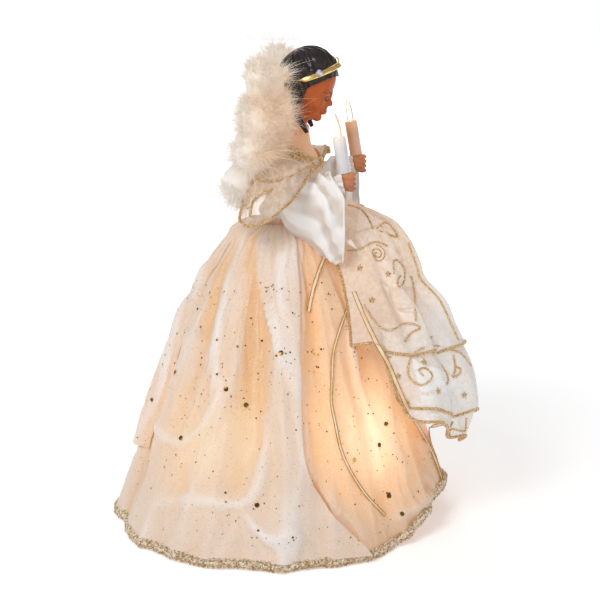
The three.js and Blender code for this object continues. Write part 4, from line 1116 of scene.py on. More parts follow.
def on_cascade(across, down, flounce=0.0):
    """A place on the cascade: across from -1 at the doll's right to 1, and down from the waist to its tip."""
    height = CASCADE_TOP - CASCADE_DROP * curve([(at, drop) for at, _, drop in CASCADE_LINE], down)
    middle = CASCADE_REACH * curve([(at, reach) for at, reach, _ in CASCADE_LINE], down)
    resting = np.maximum(skirt_reach(height) + 0.006, 0.0249)
    settled = smooth(0, 0.3, down)
    edge = mix(middle, np.minimum(middle, resting), settled)
    ruffle = 0.0035 * settled * np.cos(3.5 * math.pi * across + 0.6)
    ripple = flounce * np.sin(17 * across + 5 * down) + 0.6 * flounce * np.sin(29 * across - 7 * down + 1)
    radius = mix(middle, edge, across**2) + ruffle + ripple
    angle = -np.radians(curve(CASCADE_SPREAD, down)) * across
    return around(angle, radius, height + 0.7 * ripple)


# The arms, sleeves and drapes, on the doll's right at -X unless a sign turns them

SHOULDER = (0.012, 0.292)
HAND = (0.043, 0.057, 0.289)
ARM_ROUTE = [(0, 0, 0), (0.3, 0.02, 0.12), (0.62, 0.13, 0.59), (0.95, 0.4, 0.9), (1.05, 0.62, 0.6)]
SLEEVE_HEIGHTS = [(0, 0.22), (0.18, 0.62), (0.45, 0.84), (0.75, 0.95), (1, 1)]
SLEEVE_WIDTHS = [(0, 0.38), (0.2, 0.85), (0.6, 0.95), (1, 1)]
MOUTH_HEIGHT = 0.072
MOUTH_WIDTH = 0.027
DRAPE_EDGE = [
    (0, 0.42, -0.52, 0.995), (0.14, 0.72, -0.42, 0.975), (0.3, 0.96, -0.27, 0.925), (0.48, 1.03, -0.06, 0.88),
    (0.64, 1.03, 0.13, 0.856), (0.8, 0.98, 0.3, 0.85), (0.9, 0.92, 0.39, 0.862), (1, 0.74, 0.38, 0.90),
]
DRAPE_REACH = 0.066
DRAPE_HEART = np.array([0.01, -0.012, 0.25])
GRIP = np.array([-HAND[0], -HAND[1], HAND[2]])


def mirrored(points, sign):
    return np.asarray(points, float) * (-sign, 1, 1)


def arm_point(out, ahead, down):
    """A place along the right arm from shares of the way to its hand."""
    start = curve(TORSO_WIDTHS, (SHOULDER[1] - TORSO_FOOT) / TORSO_RISE) + BODICE_FACE + SEAT
    height = mix(SHOULDER[1], HAND[2], ahead) - 0.012 * down
    return place(-mix(start, HAND[0], out), -mix(SHOULDER[0], HAND[1], ahead), height)


def on_sleeve(turned, share):
    """A place on the right sleeve, from its tight cuff at share 0 to its mouth at 1; turned 0 is its top."""
    route = smooth_path([arm_point(*step) for step in ARM_ROUTE], 60)
    cuff = route[14]
    first = unit(route[15] - route[13])
    ahead = unit(first + (np.array([0, -1, 0]) - first) * smooth(0, 0.35, share)[..., None])
    up = unit(np.array([0, 0, 1]) - ahead * ahead[..., 2:])
    beside = np.cross(up, ahead)
    tall = (curve(SLEEVE_HEIGHTS, share) * MOUTH_HEIGHT)[..., None]
    mouth = place(-HAND[0] - 0.08 * MOUTH_WIDTH, -0.046, HAND[2] + 0.0085)
    top = mix(cuff + up * (0.0042 + SEAT + CLOTH), mouth, share[..., None])
    top = top - np.array([0, 0, 1]) * (0.004 * np.sin(math.pi * share))[..., None]
    angle = TURN * turned
    wide = curve(SLEEVE_WIDTHS, share) * MOUTH_WIDTH
    low = (1 - np.cos(angle)) / 2
    fold = 1 + 0.12 * np.sin(5 * angle + 4 * share) * smooth(0.15, 0.6, share)
    side = wide / 2 * fold * np.sin(angle) * (1 - 0.35 * low * share)
    forward = 0.011 * smooth(0, 0.3, low) * share
    sleeve = top - up * low[..., None] * tall + ahead * forward[..., None] + beside * side[..., None]
    inward = np.clip(0.5 + (sleeve[..., 0] + HAND[0]) / MOUTH_WIDTH, 0, 1)
    sleeve[..., 1] += 0.0055 * inward * smooth(0.7, 1, share)
    return sleeve


def on_drape(across, down):
    """A place on the right shoulder drape, from the neckline to its loose outer edge."""
    angle = np.radians(mix(34, 112, across))
    foot = 0.0046 / TORSO_RISE
    start = on_torso(angle, mix(foot, neckline(angle), 0.9), BODICE_FACE + CLOTH / 4)
    out, back, rise = (curve([(row[0], row[k]) for row in DRAPE_EDGE], across) for k in (1, 2, 3))
    end = place(-out * DRAPE_REACH, back * DRAPE_REACH, rise * 0.301)
    crest = mix(start, end, np.array([0.95, 0.6, 0]))
    crest[..., 2] = start[..., 2] + 0.24 * DRAPE_REACH
    down = down[..., None]
    return start * (1 - down) ** 2 + crest * 2 * down * (1 - down) + end * down**2


# The head in its own frame, upright over the top of the neck

HEAD_MASSES = [
    ((0, 0.07, 0.6), (0.29, 0.35, 0.36)), ((0, -0.07, 0.38), (0.235, 0.2, 0.26)),
    ((0, -0.12, 0.66), (0.22, 0.14, 0.17)), ((0, 0.02, 0.06), (0.13, 0.13, 0.16)),
    ((0, -0.05, 0.2), (0.17, 0.17, 0.12)), ((0, -0.2, 0.155), (0.075, 0.07, 0.06)),
    ((0, -0.252, 0.258), (0.082, 0.056, 0.05)), ((0, -0.284, 0.39), (0.042, 0.058, 0.048)),
    ((0, -0.245, 0.47), (0.035, 0.055, 0.11)), ((-0.14, -0.15, 0.37), (0.09, 0.09, 0.1)),
]
HEAD_MIDDLE = np.array([0, 0, 0.45]) * HEAD_HEIGHT
CROWN_TILT = math.radians(42)
HAIRLINE = [(0, 84), (0.5, 80), (0.9, 78), (1.3, 77), (1.55, 80), (1.8, 94), (2.2, 104), (math.pi, 102)]
HAIR_GAP = 0.0012
HAIR_THICKNESS = 0.0032
TIARA_TILT = math.radians(34)
TIARA_SPREAD = math.radians(62)


def bowed(points):
    """Places of the upright head as they lie on the bowed one."""
    points = np.asarray(points, float)
    c, s = math.cos(HEAD_BOW), math.sin(HEAD_BOW)
    y, z = points[..., 1], points[..., 2]
    return place(points[..., 0], y * c - z * s - HEAD_FORWARD, y * s + z * c + NECK_TOP)


def about_crown(heading, spread, tilt=CROWN_TILT):
    """Directions at a spread from an axis that leans back from the top of the head."""
    x = np.sin(spread) * np.sin(heading)
    y = -np.sin(spread) * np.cos(heading)
    z = np.cos(spread)
    c, s = math.cos(tilt), math.sin(tilt)
    return place(x, y * c + z * s, z * c - y * s)


def head_skin(directions):
    return skin_distance(masses_of(HEAD_MASSES, HEAD_HEIGHT), HEAD_MIDDLE, directions, HEAD_HEIGHT)


def hairline(heading):
    return np.radians(curve(HAIRLINE, np.abs(np.arctan2(np.sin(heading), np.cos(heading)))))


def hair_surface(heading, share, thickness, grooves=0.0):
    directions = about_crown(heading, share * hairline(heading))
    wave = 1 + 0.18 * np.sin(9 * share + 3 * np.cos(heading)) * share
    taper = 1 - 0.75 * smooth(0.75, 1, share)
    combed = grooves * (np.sin(11 * heading + 5 * np.sin(4 * share)) + 0.5 * np.sin(29 * heading + 9 * share))
    combed = combed * smooth(0.05, 0.3, share)
    distance = head_skin(directions) + HAIR_GAP + thickness * wave * taper + combed
    return HEAD_MIDDLE + directions * distance[..., None]


# Dressing helpers

def wear(piece, finish, body="figure", replaces=()):
    """Gives a piece its finish and the body that it moves with."""
    piece.data.materials.append(finish)
    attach(piece, body)
    if replaces:
        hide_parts(*([replaces] if isinstance(replaces, str) else replaces))
    return piece


def refinish(finish, *names):
    """A better material on CAD nodes that stay as they are."""
    for name in names:
        mesh = frame["nodes"][name].data
        mesh.materials.clear()
        mesh.materials.append(finish)


def surface_of(*pieces):
    """The surfaces of some pieces as one, for rays and nearest places."""
    points, faces = [], []
    for piece in pieces:
        start = len(points)
        points += [v.co.copy() for v in piece.data.vertices]
        faces += [[start + i for i in face.vertices] for face in piece.data.polygons]
    return BVHTree.FromPolygons(points, faces)


def camera_frame():
    """The camera's place and its forward, right and up directions."""
    stage = bpy.context.scene.topper_stage
    a, e = stage.azimuth, stage.elevation
    back = np.array([math.sin(a) * math.cos(e), -math.cos(a) * math.cos(e), math.sin(e)])
    right = unit(np.cross(-back, (0, 0, 1)))
    return np.array(stage.target) + back * stage.distance, -back, right, np.cross(right, -back)


def seen_at(pixels, surface, lift=0.0):
    """Places on a surface that the camera sees at these pixels, lifted off it towards the camera."""
    stage = bpy.context.scene.topper_stage
    start, ahead, right, up = camera_frame()
    focal = stage.lens / SENSOR_WIDTH * PICTURE_SIDE
    middle = PICTURE_SIDE / 2
    found = []
    for x, y in pixels:
        ray = Vector(ahead + (x - middle) / focal * right - (y - middle) / focal * up).normalized()
        hit, normal, _, _ = surface.ray_cast(Vector(start), ray)
        if hit is None:
            depth = (Vector(np.array(stage.target)) - Vector(start)).dot(ray)
            hit, normal, _, _ = surface.find_nearest(Vector(start) + ray * depth)
        if normal.dot(ray) > 0:
            normal = -normal
        found.append(np.array(hit + normal * lift))
    return np.array(found)


# Level rays aim at an upright line this far in front of the frame's axis, and start this far off the place
AXIS_SHIFT = 0.02
FACING_REACH = 0.03


def settled(points, surface, lift):
    """The same places moved onto the nearest of a surface, and lifted off its outer side."""
    found = []
    for point in np.asarray(points, float):
        hit, normal, _, _ = surface.find_nearest(Vector(point))
        if normal.dot(Vector((hit.x, hit.y + AXIS_SHIFT, 0))) < 0:
            normal = -normal
        found.append(np.array(hit + normal * lift))
    return np.array(found)


def facing(points, surface, lift):
    """The same places moved level onto the outermost of a surface, with small jumps evened out."""
    found = []
    for point in np.asarray(points, float):
        out = unit(np.array([point[0], point[1] + AXIS_SHIFT, 0]))
        hit = surface.ray_cast(Vector(point + FACING_REACH * out), Vector(-out), 2 * FACING_REACH)[0]
        found.append(point if hit is None else np.array(hit) + lift * out)
    found = np.array(found)
    for _ in range(4):
        found[1:-1] = 0.25 * found[:-2] + 0.5 * found[1:-1] + 0.25 * found[2:]
    return found


def drawn(reach, angle):
    """Places of a flat drawing, from how far each one lies from its middle and in which direction."""
    return np.stack([reach * np.cos(angle), reach * np.sin(angle)], axis=-1)


def spiral(winds, start, inner=0.12):
    """A flat scroll of unit size that winds out from its eye."""
    t = np.linspace(0, 1, int(26 * winds) + 6)
    angle = start + TURN * winds * t
    return drawn(mix(inner, 1, t), angle)


def star(points=5, inner=0.42):
    """The outline of a small star, of unit size."""
    angle = TURN * (np.arange(2 * points) + 0.5) / (2 * points)
    reach = np.where(np.arange(2 * points) % 2, inner, 1.0)
    return drawn(reach, angle)


def drawn_on(shape, middle, size, surface, lift):
    """A flat drawing of unit size laid on a surface round a place."""
    hit, normal, _, _ = surface.find_nearest(Vector(middle))
    side = Vector((0, 0, 1)).cross(normal).normalized()
    over = normal.cross(side)
    flat = np.array([np.array(hit + side * (x * size) + over * (y * size)) for x, y in shape])
    return settled(flat, surface, lift)


CORD_LIFT = 0.0014
CORD_EDGE = 0.00036


def laid_cord(name, width, pixels, surface):
    """A flat satin cord with two gold edges, laid where the photograph shows it, alike on both sides."""
    near = smooth_path(seen_at(pixels, surface, CORD_LIFT), 150)
    for side, sign in SIDES:
        path = near if sign < 0 else facing(near * (-1, 1, 1), surface, CORD_LIFT)
        out = unit(around(np.arctan2(-path[:, 0], -path[:, 1]), 1.0, 0.3) + np.array([0.5 * sign, 0, 0]))
        beside = unit(np.cross(np.gradient(path, axis=0), out))
        edges = [tube(path + beside * step + out * 0.0002, CORD_EDGE, 6) for step in (-width, width)]
        wear(many(f"{name}_{side}", edges), cord_edge())
        ribbon = tube(path, width, 8, flat=0.12, up=out)
        wear(many(f"{name}_ribbon_{side}", [ribbon]), gold_satin())


class TopperStep:
    """What every step of the dressing shares."""

    bl_options = {"REGISTER", "UNDO"}

    def execute(self, context):
        self.make(context)
        return {"FINISHED"}


class TOPPER_OT_stage(TopperStep, bpy.types.Operator):
    """Make the camera, the soft lights, the pale floor and the white surroundings"""

    bl_idname = "topper.stage"
    bl_label = "Stage"

    def make(self, context):
        stage = context.scene.topper_stage
        start, ahead, _, _ = camera_frame()
        data = bpy.data.cameras.new("camera")
        data.lens = stage.lens
        data.sensor_width = SENSOR_WIDTH
        data.clip_start, data.clip_end = 0.01, 20.0
        camera = bpy.data.objects.new("camera", data)
        camera.location = start
        camera.rotation_mode = "QUATERNION"
        camera.rotation_quaternion = Vector(ahead).to_track_quat("-Z", "Y")
        context.scene.collection.objects.link(camera)
        context.scene.camera = camera
        context.scene.view_settings.view_transform = "Standard"
        self.lamp(context, "key_light", stage.key_light, 0.8, (-1.1, 0.6, 1.3), (1.0, 0.995, 0.985))
        self.lamp(context, "fill_light", stage.fill_light, 1.2, (-0.9, -1.3, 0.6), (1.0, 0.98, 0.95))
        self.lamp(context, "rim_light", stage.rim_light, 0.8, (1.0, 0.3, 1.1), (1.0, 0.99, 0.97))
        self.floor()
        self.surroundings(context, stage.sky)

    def lamp(self, context, name, power, side, place_at, tint):
        data = bpy.data.lights.new(name, "AREA")
        data.shape = "DISK"
        data.size = side
        data.energy = power
        data.color = tint
        lamp = bpy.data.objects.new(name, data)
        lamp.location = place_at
        aim = Vector((0, 0, 0.2)) - lamp.location
        lamp.rotation_euler = aim.to_track_quat("-Z", "Y").to_euler()
        context.scene.collection.objects.link(lamp)

    def floor(self):
        reach = 4.0
        corners = [(-reach, -reach, 0), (reach, -reach, 0), (reach, reach, 0), (-reach, reach, 0)]
        floor = mesh_of("floor", corners, [[0, 1, 2, 3]])
        floor.data.materials.append(floor_paper())

    def surroundings(self, context, strength):
        world = bpy.data.worlds.new("white_surroundings")
        world.use_nodes = True
        context.scene.world = world
        nodes, links = world.node_tree.nodes, world.node_tree.links
        path = nodes.new("ShaderNodeLightPath")
        plain = nodes["Background"]
        plain.inputs["Color"].default_value = (0.97, 0.98, 1.0, 1)
        plain.inputs["Strength"].default_value = strength
        white = nodes.new("ShaderNodeBackground")
        white.inputs["Color"].default_value = (1, 1, 1, 1)
        seen = nodes.new("ShaderNodeMath")
        seen.operation = "MAXIMUM"
        links.new(path.outputs["Is Camera Ray"], seen.inputs[0])
        links.new(path.outputs["Is Transmission Ray"], seen.inputs[1])
        both = nodes.new("ShaderNodeMixShader")
        for i, made in enumerate((seen, plain, white)):
            links.new(made.outputs[0], both.inputs[i])
        links.new(both.outputs[0], nodes["World Output"].inputs["Surface"])


class TOPPER_OT_frame_finishes(TopperStep, bpy.types.Operator):
    """Give the rigid pieces of the frame that show as they are their plastics, wire and glass"""

    bl_idname = "topper.frame_finishes"
    bl_label = "Frame finishes"

    def make(self, context):
        nodes = frame["nodes"]
        refinish(white_plastic(), "inner_cone", "wing_yoke", *[n for n in nodes if n.startswith("arm_")])
        wires = [n for n in nodes if "holder" in n or n.startswith("candle_lead_")]
        refinish(cream_plastic(), "light_string", *wires)
        refinish(lamp_glass(), *skirt_lamps())


class TOPPER_OT_torso(TopperStep, bpy.types.Operator):
    """Make the bust, the bodice with its neckline braid and the waist sash"""

    bl_idname = "topper.torso"
    bl_label = "Torso and bodice"

    SASH_HEIGHT = 0.2583
    SASH_WIDTH = 0.0086
    # Each row's drop below the neckline, its beads' radius and their number
    BEADS = ((-0.0016, 0.00105, 92), (0.0003, 0.0012, 84), (0.0021, 0.0009, 100))
    # Each looped edge's drop, and 1 or -1 for the way in which its loops lean
    EDGES = ((-0.0026, 1), (0.0032, -1))
    LOOPS = 54

    def make(self, context):
        self.bust()
        self.bodice()
        self.sash()
        self.neckline_braid()

    def bust(self):
        angle = turns(64)
        grid = on_torso(angle[None], np.linspace(0.0, 1.36, 40)[:, None])
        neck = bowed(around(angle, NECK_RADIUS, 0.0))
        grid = np.concatenate([grid, mix(grid[-1], neck, 0.6)[None], neck[None]])
        wear(grid_mesh("bust", grid, closed=True, caps=True), neck_skin(), replaces="torso_form")

    def bodice(self):
        angle, rows = turns(144)[None], np.linspace(0, 1, 46)[:, None]
        rise = mix(0.0043 / TORSO_RISE, neckline(angle), rows)
        tucks = 0.0005 * np.cos(36 * angle + 4 * rows) * (1 - smooth(0.1, 0.7, rows))
        grid = crumpled(on_torso(-angle, rise, 0.0019 + tucks), 0.0005, 3, closed=True)
        piece = grid_mesh("bodice_cloth", grid, closed=True)
        wear(piece, glitter_cloth(), replaces="bodice")
        # Noise sets the fold mark here, so the painted shade and highlight fall in soft patches
        mark(piece, "fold", 0.4 + 0.5 * rough(grid, 0.014, 4))

    def sash(self):
        angle = turns(160)
        rise = (self.SASH_HEIGHT - TORSO_FOOT) / TORSO_RISE
        rows = []
        for across in np.linspace(0, 1, 15):
            pleat = 0.00035 * math.cos(TURN * 3.5 * across)
            lift = BODICE_FACE + SEAT + 0.0004 + 0.0016 * math.sin(math.pi * across) + pleat
            ring = on_torso(angle, rise + (across - 0.5) * self.SASH_WIDTH / TORSO_RISE, lift)
            rows.append(ring + place(0, 0, 0.0004 * np.sin(7 * angle + 9 * across)))
        outer = np.array(rows)
        half = 0.5 * self.SASH_WIDTH / TORSO_RISE
        inner = on_torso(angle, np.linspace(rise + half, rise - half, 4)[:, None], BODICE_FACE + SEAT)
        grid = np.concatenate([outer, inner, outer[:1]])
        wear(grid_mesh("sash_cloth", grid, closed=True), white_satin(), replaces="waist_sash")

    def neckline_braid(self):
        """Three rows of small beads between looped edges"""
        shapes = []
        for row, (drop, size, count) in enumerate(self.BEADS):
            for i in range(count):
                angle = TURN * (i + 0.5 * row) / count
                middle = on_torso(angle, neckline(angle) - (0.001 + drop) / TORSO_RISE, 0.0028)
                shapes.append(bead(middle, size))
        angle = turns(self.LOOPS * 8)
        for drop, lean in self.EDGES:
            rise = neckline(angle) - (0.001 + drop + lean * 0.0009 * np.cos(self.LOOPS * angle)) / TORSO_RISE
            shapes.append(tube(on_torso(angle, rise, 0.0026), 0.00042, 6, looped=True))
        wear(many("neckline_beads", shapes), bright_braid(), replaces="neckline_braid")


class TOPPER_OT_skirt(TopperStep, bpy.types.Operator):
    """Make the satin skirt, the open robe over it and the train at its back"""

    bl_idname = "topper.skirt"
    bl_label = "Skirt, robe and train"

    def make(self, context):
        rows, angle = np.linspace(0, 1, 130)[:, None], -turns(640)[None]
        grid = on_skirt(angle, rows)
        plain = grid_mesh("skirt_form", grid, closed=True)
        self.form = surface_of(plain)
        bpy.data.objects.remove(plain)
        grid, ridges = ridged(grid, self.form, 0.0042)
        grid = crumpled(grid, CRUMPLE_DEPTH, 1, closed=True)
        skirt = grid_mesh("skirt_cloth", grid, closed=True)
        wear(skirt, skirt_satin(), replaces="skirt")
        mark(skirt, "fold", fold_of(ridges, angle, rows))
        self.layer("robe_cloth", "overskirt", robe_edge, 0.0078, robe_lift, 520, 0.7)
        self.layer("train_cloth", "train", self.train_edge, 0.062, self.train_lift, 180, 0.2)

    def train_edge(self, share):
        return TRAIN_EDGE + 0 * share

    def train_lift(self, angle, share):
        """The train lies close to the robe along its edges and stands off it between them."""
        inward = (np.minimum(angle, TURN - angle) - TRAIN_EDGE) * SKIRT_STEPS / TURN
        off = dress().layer_lift + 0.004 * smooth(0.35, 0.85, share)
        return dress().layer_lift + off * (0.15 + 0.85 * smooth(0, 2.0, inward))

    def layer(self, name, node, edge, foot, lift, columns, width):
        rows = (np.linspace(0, 1, 120) * share_at(foot))[:, None]
        angle = mix(TURN - edge(rows), edge(rows), np.linspace(0, 1, columns)[None])
        grid = on_skirt(angle, rows, lift(angle, rows))
        grid, ridges = ridged(grid, self.form, 0.0050)
        grid = crumpled(grid, CRUMPLE_DEPTH, 1)
        piece = wear(grid_mesh(name, grid), glitter_cloth(), replaces=node)
        mark(piece, "fold", fold_of(ridges, angle, rows))


class TOPPER_OT_skirt_trim(TopperStep, bpy.types.Operator):
    """Make the braid at the hem, the gold cords down the skirt and the sequins"""

    bl_idname = "topper.skirt_trim"
    bl_label = "Hem braid, cords and sequins"

    WAVES = 236
    STRAND = 0.0008
    LOOP = 0.00055
    CORDS = {
        "robe_cord": (0.0013, [(323, 258), (318, 274), (312, 292), (308, 312)]),
        "panel_cord": (0.0010, [
            (353, 296), (345, 311), (339, 329), (333, 352), (331, 378), (332, 402),
            (335, 424), (341, 450), (350, 472), (365, 495), (384, 516),
        ]),
    }
    # Sizes of the small sequins and how common each one is, and the size and places of the large ones
    SIZES = [0.00045, 0.0007, 0.001]
    CHANCES = [0.66, 0.28, 0.06]
    LARGE_SIZE = 0.0021
    LARGE = [
        (281, 353), (386, 424), (379, 445), (354, 460), (389, 496), (402, 514),
        (175, 372), (226, 389), (246, 405), (181, 438), (257, 505), (152, 400),
    ]

    def make(self, context):
        self.hem_braid()
        skirt, robe, train = (bpy.data.objects[name] for name in ("skirt_cloth", "robe_cloth", "train_cloth"))
        surface = surface_of(skirt, robe)
        for name, (width, pixels) in self.CORDS.items():
            laid_cord(name, width, pixels, surface)
        self.sequins(surface_of(skirt, robe, train))

    def hem_place(self, angle, rise, lift):
        """A place over the hem's outer face, at a height above the hem's edge."""
        low, high = on_skirt(angle, 1.0), on_skirt(angle, 0.9)
        up = (rise / (high[..., 2] - low[..., 2]))[..., None]
        return mix(low, high, up) + unit(around(angle, 1.0, 0.35)) * np.asarray(lift)[..., None]

    def hem_braid(self):
        """Three plaited strands, with small loops above and below"""
        angle = turns(self.WAVES * 8)
        shapes = []
        for strand in range(3):
            phase = self.WAVES * angle + TURN * strand / 3
            path = self.hem_place(angle, 0.0034 + 0.0016 * np.sin(phase), 0.0026 + 0.0006 * np.cos(2 * phase))
            shapes.append(tube(path, self.STRAND, 6, looped=True, up=(0, 0, 1)))
        for foot, lean in ((0.0013, -1), (0.0054, 1)):
            rise = foot + lean * 0.0015 * np.abs(np.sin(self.WAVES / 2 * angle)) ** 0.7
            path = self.hem_place(angle, rise, 0.0021 + 0 * angle)
            shapes.append(tube(path, self.LOOP, 5, looped=True, up=(0, 0, 1)))
        wear(many("hem_plait", shapes), metal_braid(), replaces="hem_braid")

    def sequins(self, surface):
        """Small hexagons scattered on the skirt and the robe, denser near the hem"""
        draw = np.random.default_rng(11)
        shapes = []
        for _ in range(dress().sequins):
            angle = draw.uniform(0, TURN)
            part = draw.uniform(0.2, 0.95) ** 0.8
            spot = around(angle, 0.2, mix(dress().waist_height, HEM_HEIGHT, part**DROP_POWER))
            size = draw.choice(self.SIZES, p=self.CHANCES)
            inward = (Vector((0, 0, spot[2])) - Vector(spot)).normalized()
            hit, out, _, _ = surface.ray_cast(Vector(spot), inward)
            if hit is not None:
                shapes.append(self.disc(hit, out, size))
        for _, sign in SIDES:
            for seen in seen_at(self.LARGE, surface):
                hit, out, _, _ = surface.find_nearest(Vector(seen * (-sign, 1, 1)))
                shapes.append(self.disc(hit, out, self.LARGE_SIZE))
        wear(many("skirt_sequins", shapes), sequin())

    def disc(self, hit, out, size):
        """A small six-sided sequin that lies on the cloth"""
        hit, out = np.array(hit), np.array(out)
        out = out if out @ (hit * (1, 1, 0)) > 0 else -out
        rim = hit + 0.0005 * out + size * turned_by(turns(6)[:, None], *square_to(out, (0, 0, 1)))
        crown = hit + out * (0.0005 + 0.25 * size)
        return np.concatenate([rim, [crown]]), [[i, (i + 1) % 6, 6] for i in range(6)]


class TOPPER_OT_cascade(TopperStep, bpy.types.Operator):
    """Make the three tiers of sheer cloth in front, with their glitter borders and scrolls"""

    bl_idname = "topper.cascade"
    bl_label = "Cascade"

    # Each tier's top and foot down the cascade, its lift, its rows, its width, how far its corners are
    # drawn up and how much it narrows towards its foot
    TIERS = (
        ("upper", 0.0, 0.75, 0.0, 120, 1.0, 0.093, 0.0), ("lower", 0.62, 0.935, -0.002, 80, 0.8, 0.3, 0.0),
        ("tail", 0.85, 1.0, -0.0035, 50, 0.76, 0.45, 0.38),
    )
    LINES = [
        [(348, 205), (359, 209), (367, 217), (373, 229)],
        [(377, 229), (381, 225), (387, 223), (394, 230), (397, 237), (389, 235), (380, 231)],
        [(348, 251), (361, 249), (371, 243), (380, 243), (387, 246)],
        [(394, 274), (393, 262), (398, 261), (404, 271), (403, 283), (399, 287), (397, 281), (400, 276)],
        [(411, 276), (414, 293), (415, 311), (416, 321)],
        [(408, 243), (417, 268), (421, 280), (437, 297), (445, 311), (452, 327), (458, 340)],
        [
            (364, 305), (372, 318), (383, 329), (394, 329), (402, 324), (413, 324), (420, 328), (411, 333),
            (404, 342),
        ],
        [
            (471, 366), (461, 354), (451, 350), (437, 346), (423, 348), (413, 355), (408, 366), (410, 378),
            (420, 385), (428, 382), (432, 376), (428, 370), (422, 368), (419, 371), (423, 376),
        ],
        [(453, 355), (455, 368), (453, 377), (459, 374), (460, 369), (456, 367)],
        [(362, 362), (363, 355), (370, 352), (376, 355), (376, 363)],
        [(383, 346), (389, 357), (388, 371), (378, 376)],
        [(389, 376), (394, 390), (404, 399), (409, 402), (407, 408)],
        [(389, 405), (395, 401), (398, 406)],
        [(440, 429), (451, 429), (464, 431), (470, 428), (466, 418)],
    ]
    STARS = [
        (424, 362), (398, 376), (378, 376), (438, 391), (388, 274), (464, 395), (451, 424), (360, 268),
        (372, 300),
    ]
    RING = (377, 254)
    FRONT_CORD = [
        (354, 292), (364, 316), (375, 341), (386, 362), (396, 384), (408, 409), (423, 437), (434, 460),
        (442, 484),
    ]
    LINE = 0.00085
    LINE_LIFT = 0.0006

    def make(self, context):
        cloths = []
        for name, top, foot, lift, rows, width, raised, narrowed in self.TIERS:
            self.shape = top, foot, lift, width, raised, narrowed
            grid = self.tier(np.linspace(-1, 1, 190)[None], np.linspace(top, foot, rows)[:, None])
            finish = organza() if name == "upper" else layered_organza()
            piece = grid_mesh(f"cascade_{name}_cloth", grid)
            wear(piece, finish, replaces=f"cascade_{name}")
            cloths.append(piece)
            self.border(name, top, foot)
        self.scrolls(surface_of(*cloths))
        skirts = [bpy.data.objects[name] for name in ("skirt_cloth", "robe_cloth")]
        laid_cord("front_cord", 0.0017, self.FRONT_CORD, surface_of(*cloths, *skirts))

    def tier(self, across, down):
        """A tier whose free edge ripples the most and whose corners are drawn up."""
        top, foot, lift, width, raised, narrowed = self.shape
        width = width * (1 - narrowed * ((down - top) / (foot - top)) ** 3)
        loose = 0.0012 + 0.0018 * smooth(0.35, 1, (down - top) / (foot - top)) + 0.001 * across**2
        grid = on_cascade(width * across, top + (down - top) * (1 - raised * across**2), loose)
        return grid + unit(grid * (1, 1, 0)) * lift

    def border(self, name, top, foot):
        """A line of glitter along the tier's sides and free edge"""
        rise = np.linspace(top + 0.02, mix(top, foot, 0.998), 80)
        over = np.linspace(-0.995, 0.995, 150)[1:-1]
        across = np.concatenate([0 * rise - 0.995, over, 0 * rise + 0.995])
        down = np.concatenate([rise, 0 * over + rise[-1], rise[::-1]])
        path = self.tier(across, down)
        wear(many(f"cascade_{name}_border", twisted(path, self.LINE)), glitter_line())

    def scrolls(self, surface):
        """Scrolls, a ring and stars of glitter drawn on the cloth, where the photograph shows them"""
        drawings = [(self.RING, 0.0072, spiral(2.1, 1.0), False)]
        drawings += [(at, 0.0024, star(), True) for at in self.STARS]
        for side, sign in SIDES:
            shapes = []
            for pixels in self.LINES:
                path = smooth_path(seen_at(pixels, surface, self.LINE_LIFT), 12 * len(pixels))
                path = path if sign < 0 else facing(path * (-1, 1, 1), surface, self.LINE_LIFT)
                shapes.append(tube(path, self.LINE, 6))
            for pixel, size, shape, looped in drawings:
                middle = seen_at([pixel], surface)[0] * (-sign, 1, 1)
                path = drawn_on(shape, middle, size, surface, self.LINE_LIFT)
                shapes.append(tube(path, 0.0006, 5, looped=looped))
            wear(many(f"cascade_scrolls_{side}", shapes), glitter_line())


class TOPPER_OT_drapes(TopperStep, bpy.types.Operator):
    """Make the sheer drape over each shoulder, edged with glitter cord"""

    bl_idname = "topper.drapes"
    bl_label = "Shoulder drapes"

    CORDS = [
        [(317, 165), (309, 166), (298, 173), (281, 180), (265, 181), (258, 178), (252, 186)],
        [(273, 189), (261, 195), (253, 202), (250, 216)],
        [(249, 208), (240, 209), (237, 216)],
    ]
    KNOT = (313, 168)

    def make(self, context):
        t = np.linspace(0, 1, 110)
        for side, sign in SIDES:
            grid = mirrored(self.cloth(np.linspace(0, 1, 120)[None], np.linspace(0, 1, 64)[:, None]), sign)
            piece = grid_mesh(f"drape_cloth_{side}", grid)
            wear(piece, drape_organza(), replaces=f"shoulder_drape_{side}")
            shapes = []
            for across, down in ((t, 0.995), (0.004, t), (0.996, t)):
                path = self.cloth(across, down)
                path = path + 0.0009 * unit(path - DRAPE_HEART)
                shapes += twisted(mirrored(path, sign), 0.0008)
            if sign < 0:
                surface = surface_of(piece)
                lines = [smooth_path(seen_at(pixels, surface, 0.0007), 80) for pixels in self.CORDS]
                knot = seen_at([self.KNOT], surface)[0]
                lines.append(drawn_on(spiral(2.2, 0.6), knot, 0.0042, surface, 0.0012))
            for path in lines:
                shapes += twisted(mirrored(path, sign), 0.0007)
            wear(many(f"drape_cord_{side}", shapes), glitter_line())

    def cloth(self, across, down):
        across, down = np.broadcast_arrays(np.asarray(across, float), np.asarray(down, float))
        grid = on_drape(across, down)
        out = unit(grid - DRAPE_HEART)
        ripple = 0.0014 * np.sin(6 * math.pi * across) * smooth(0.3, 1, down)
        ripple = ripple + 0.0007 * np.sin(47 * across + 9 * down) * smooth(0.1, 0.8, down)
        return grid + out * ripple[..., None]


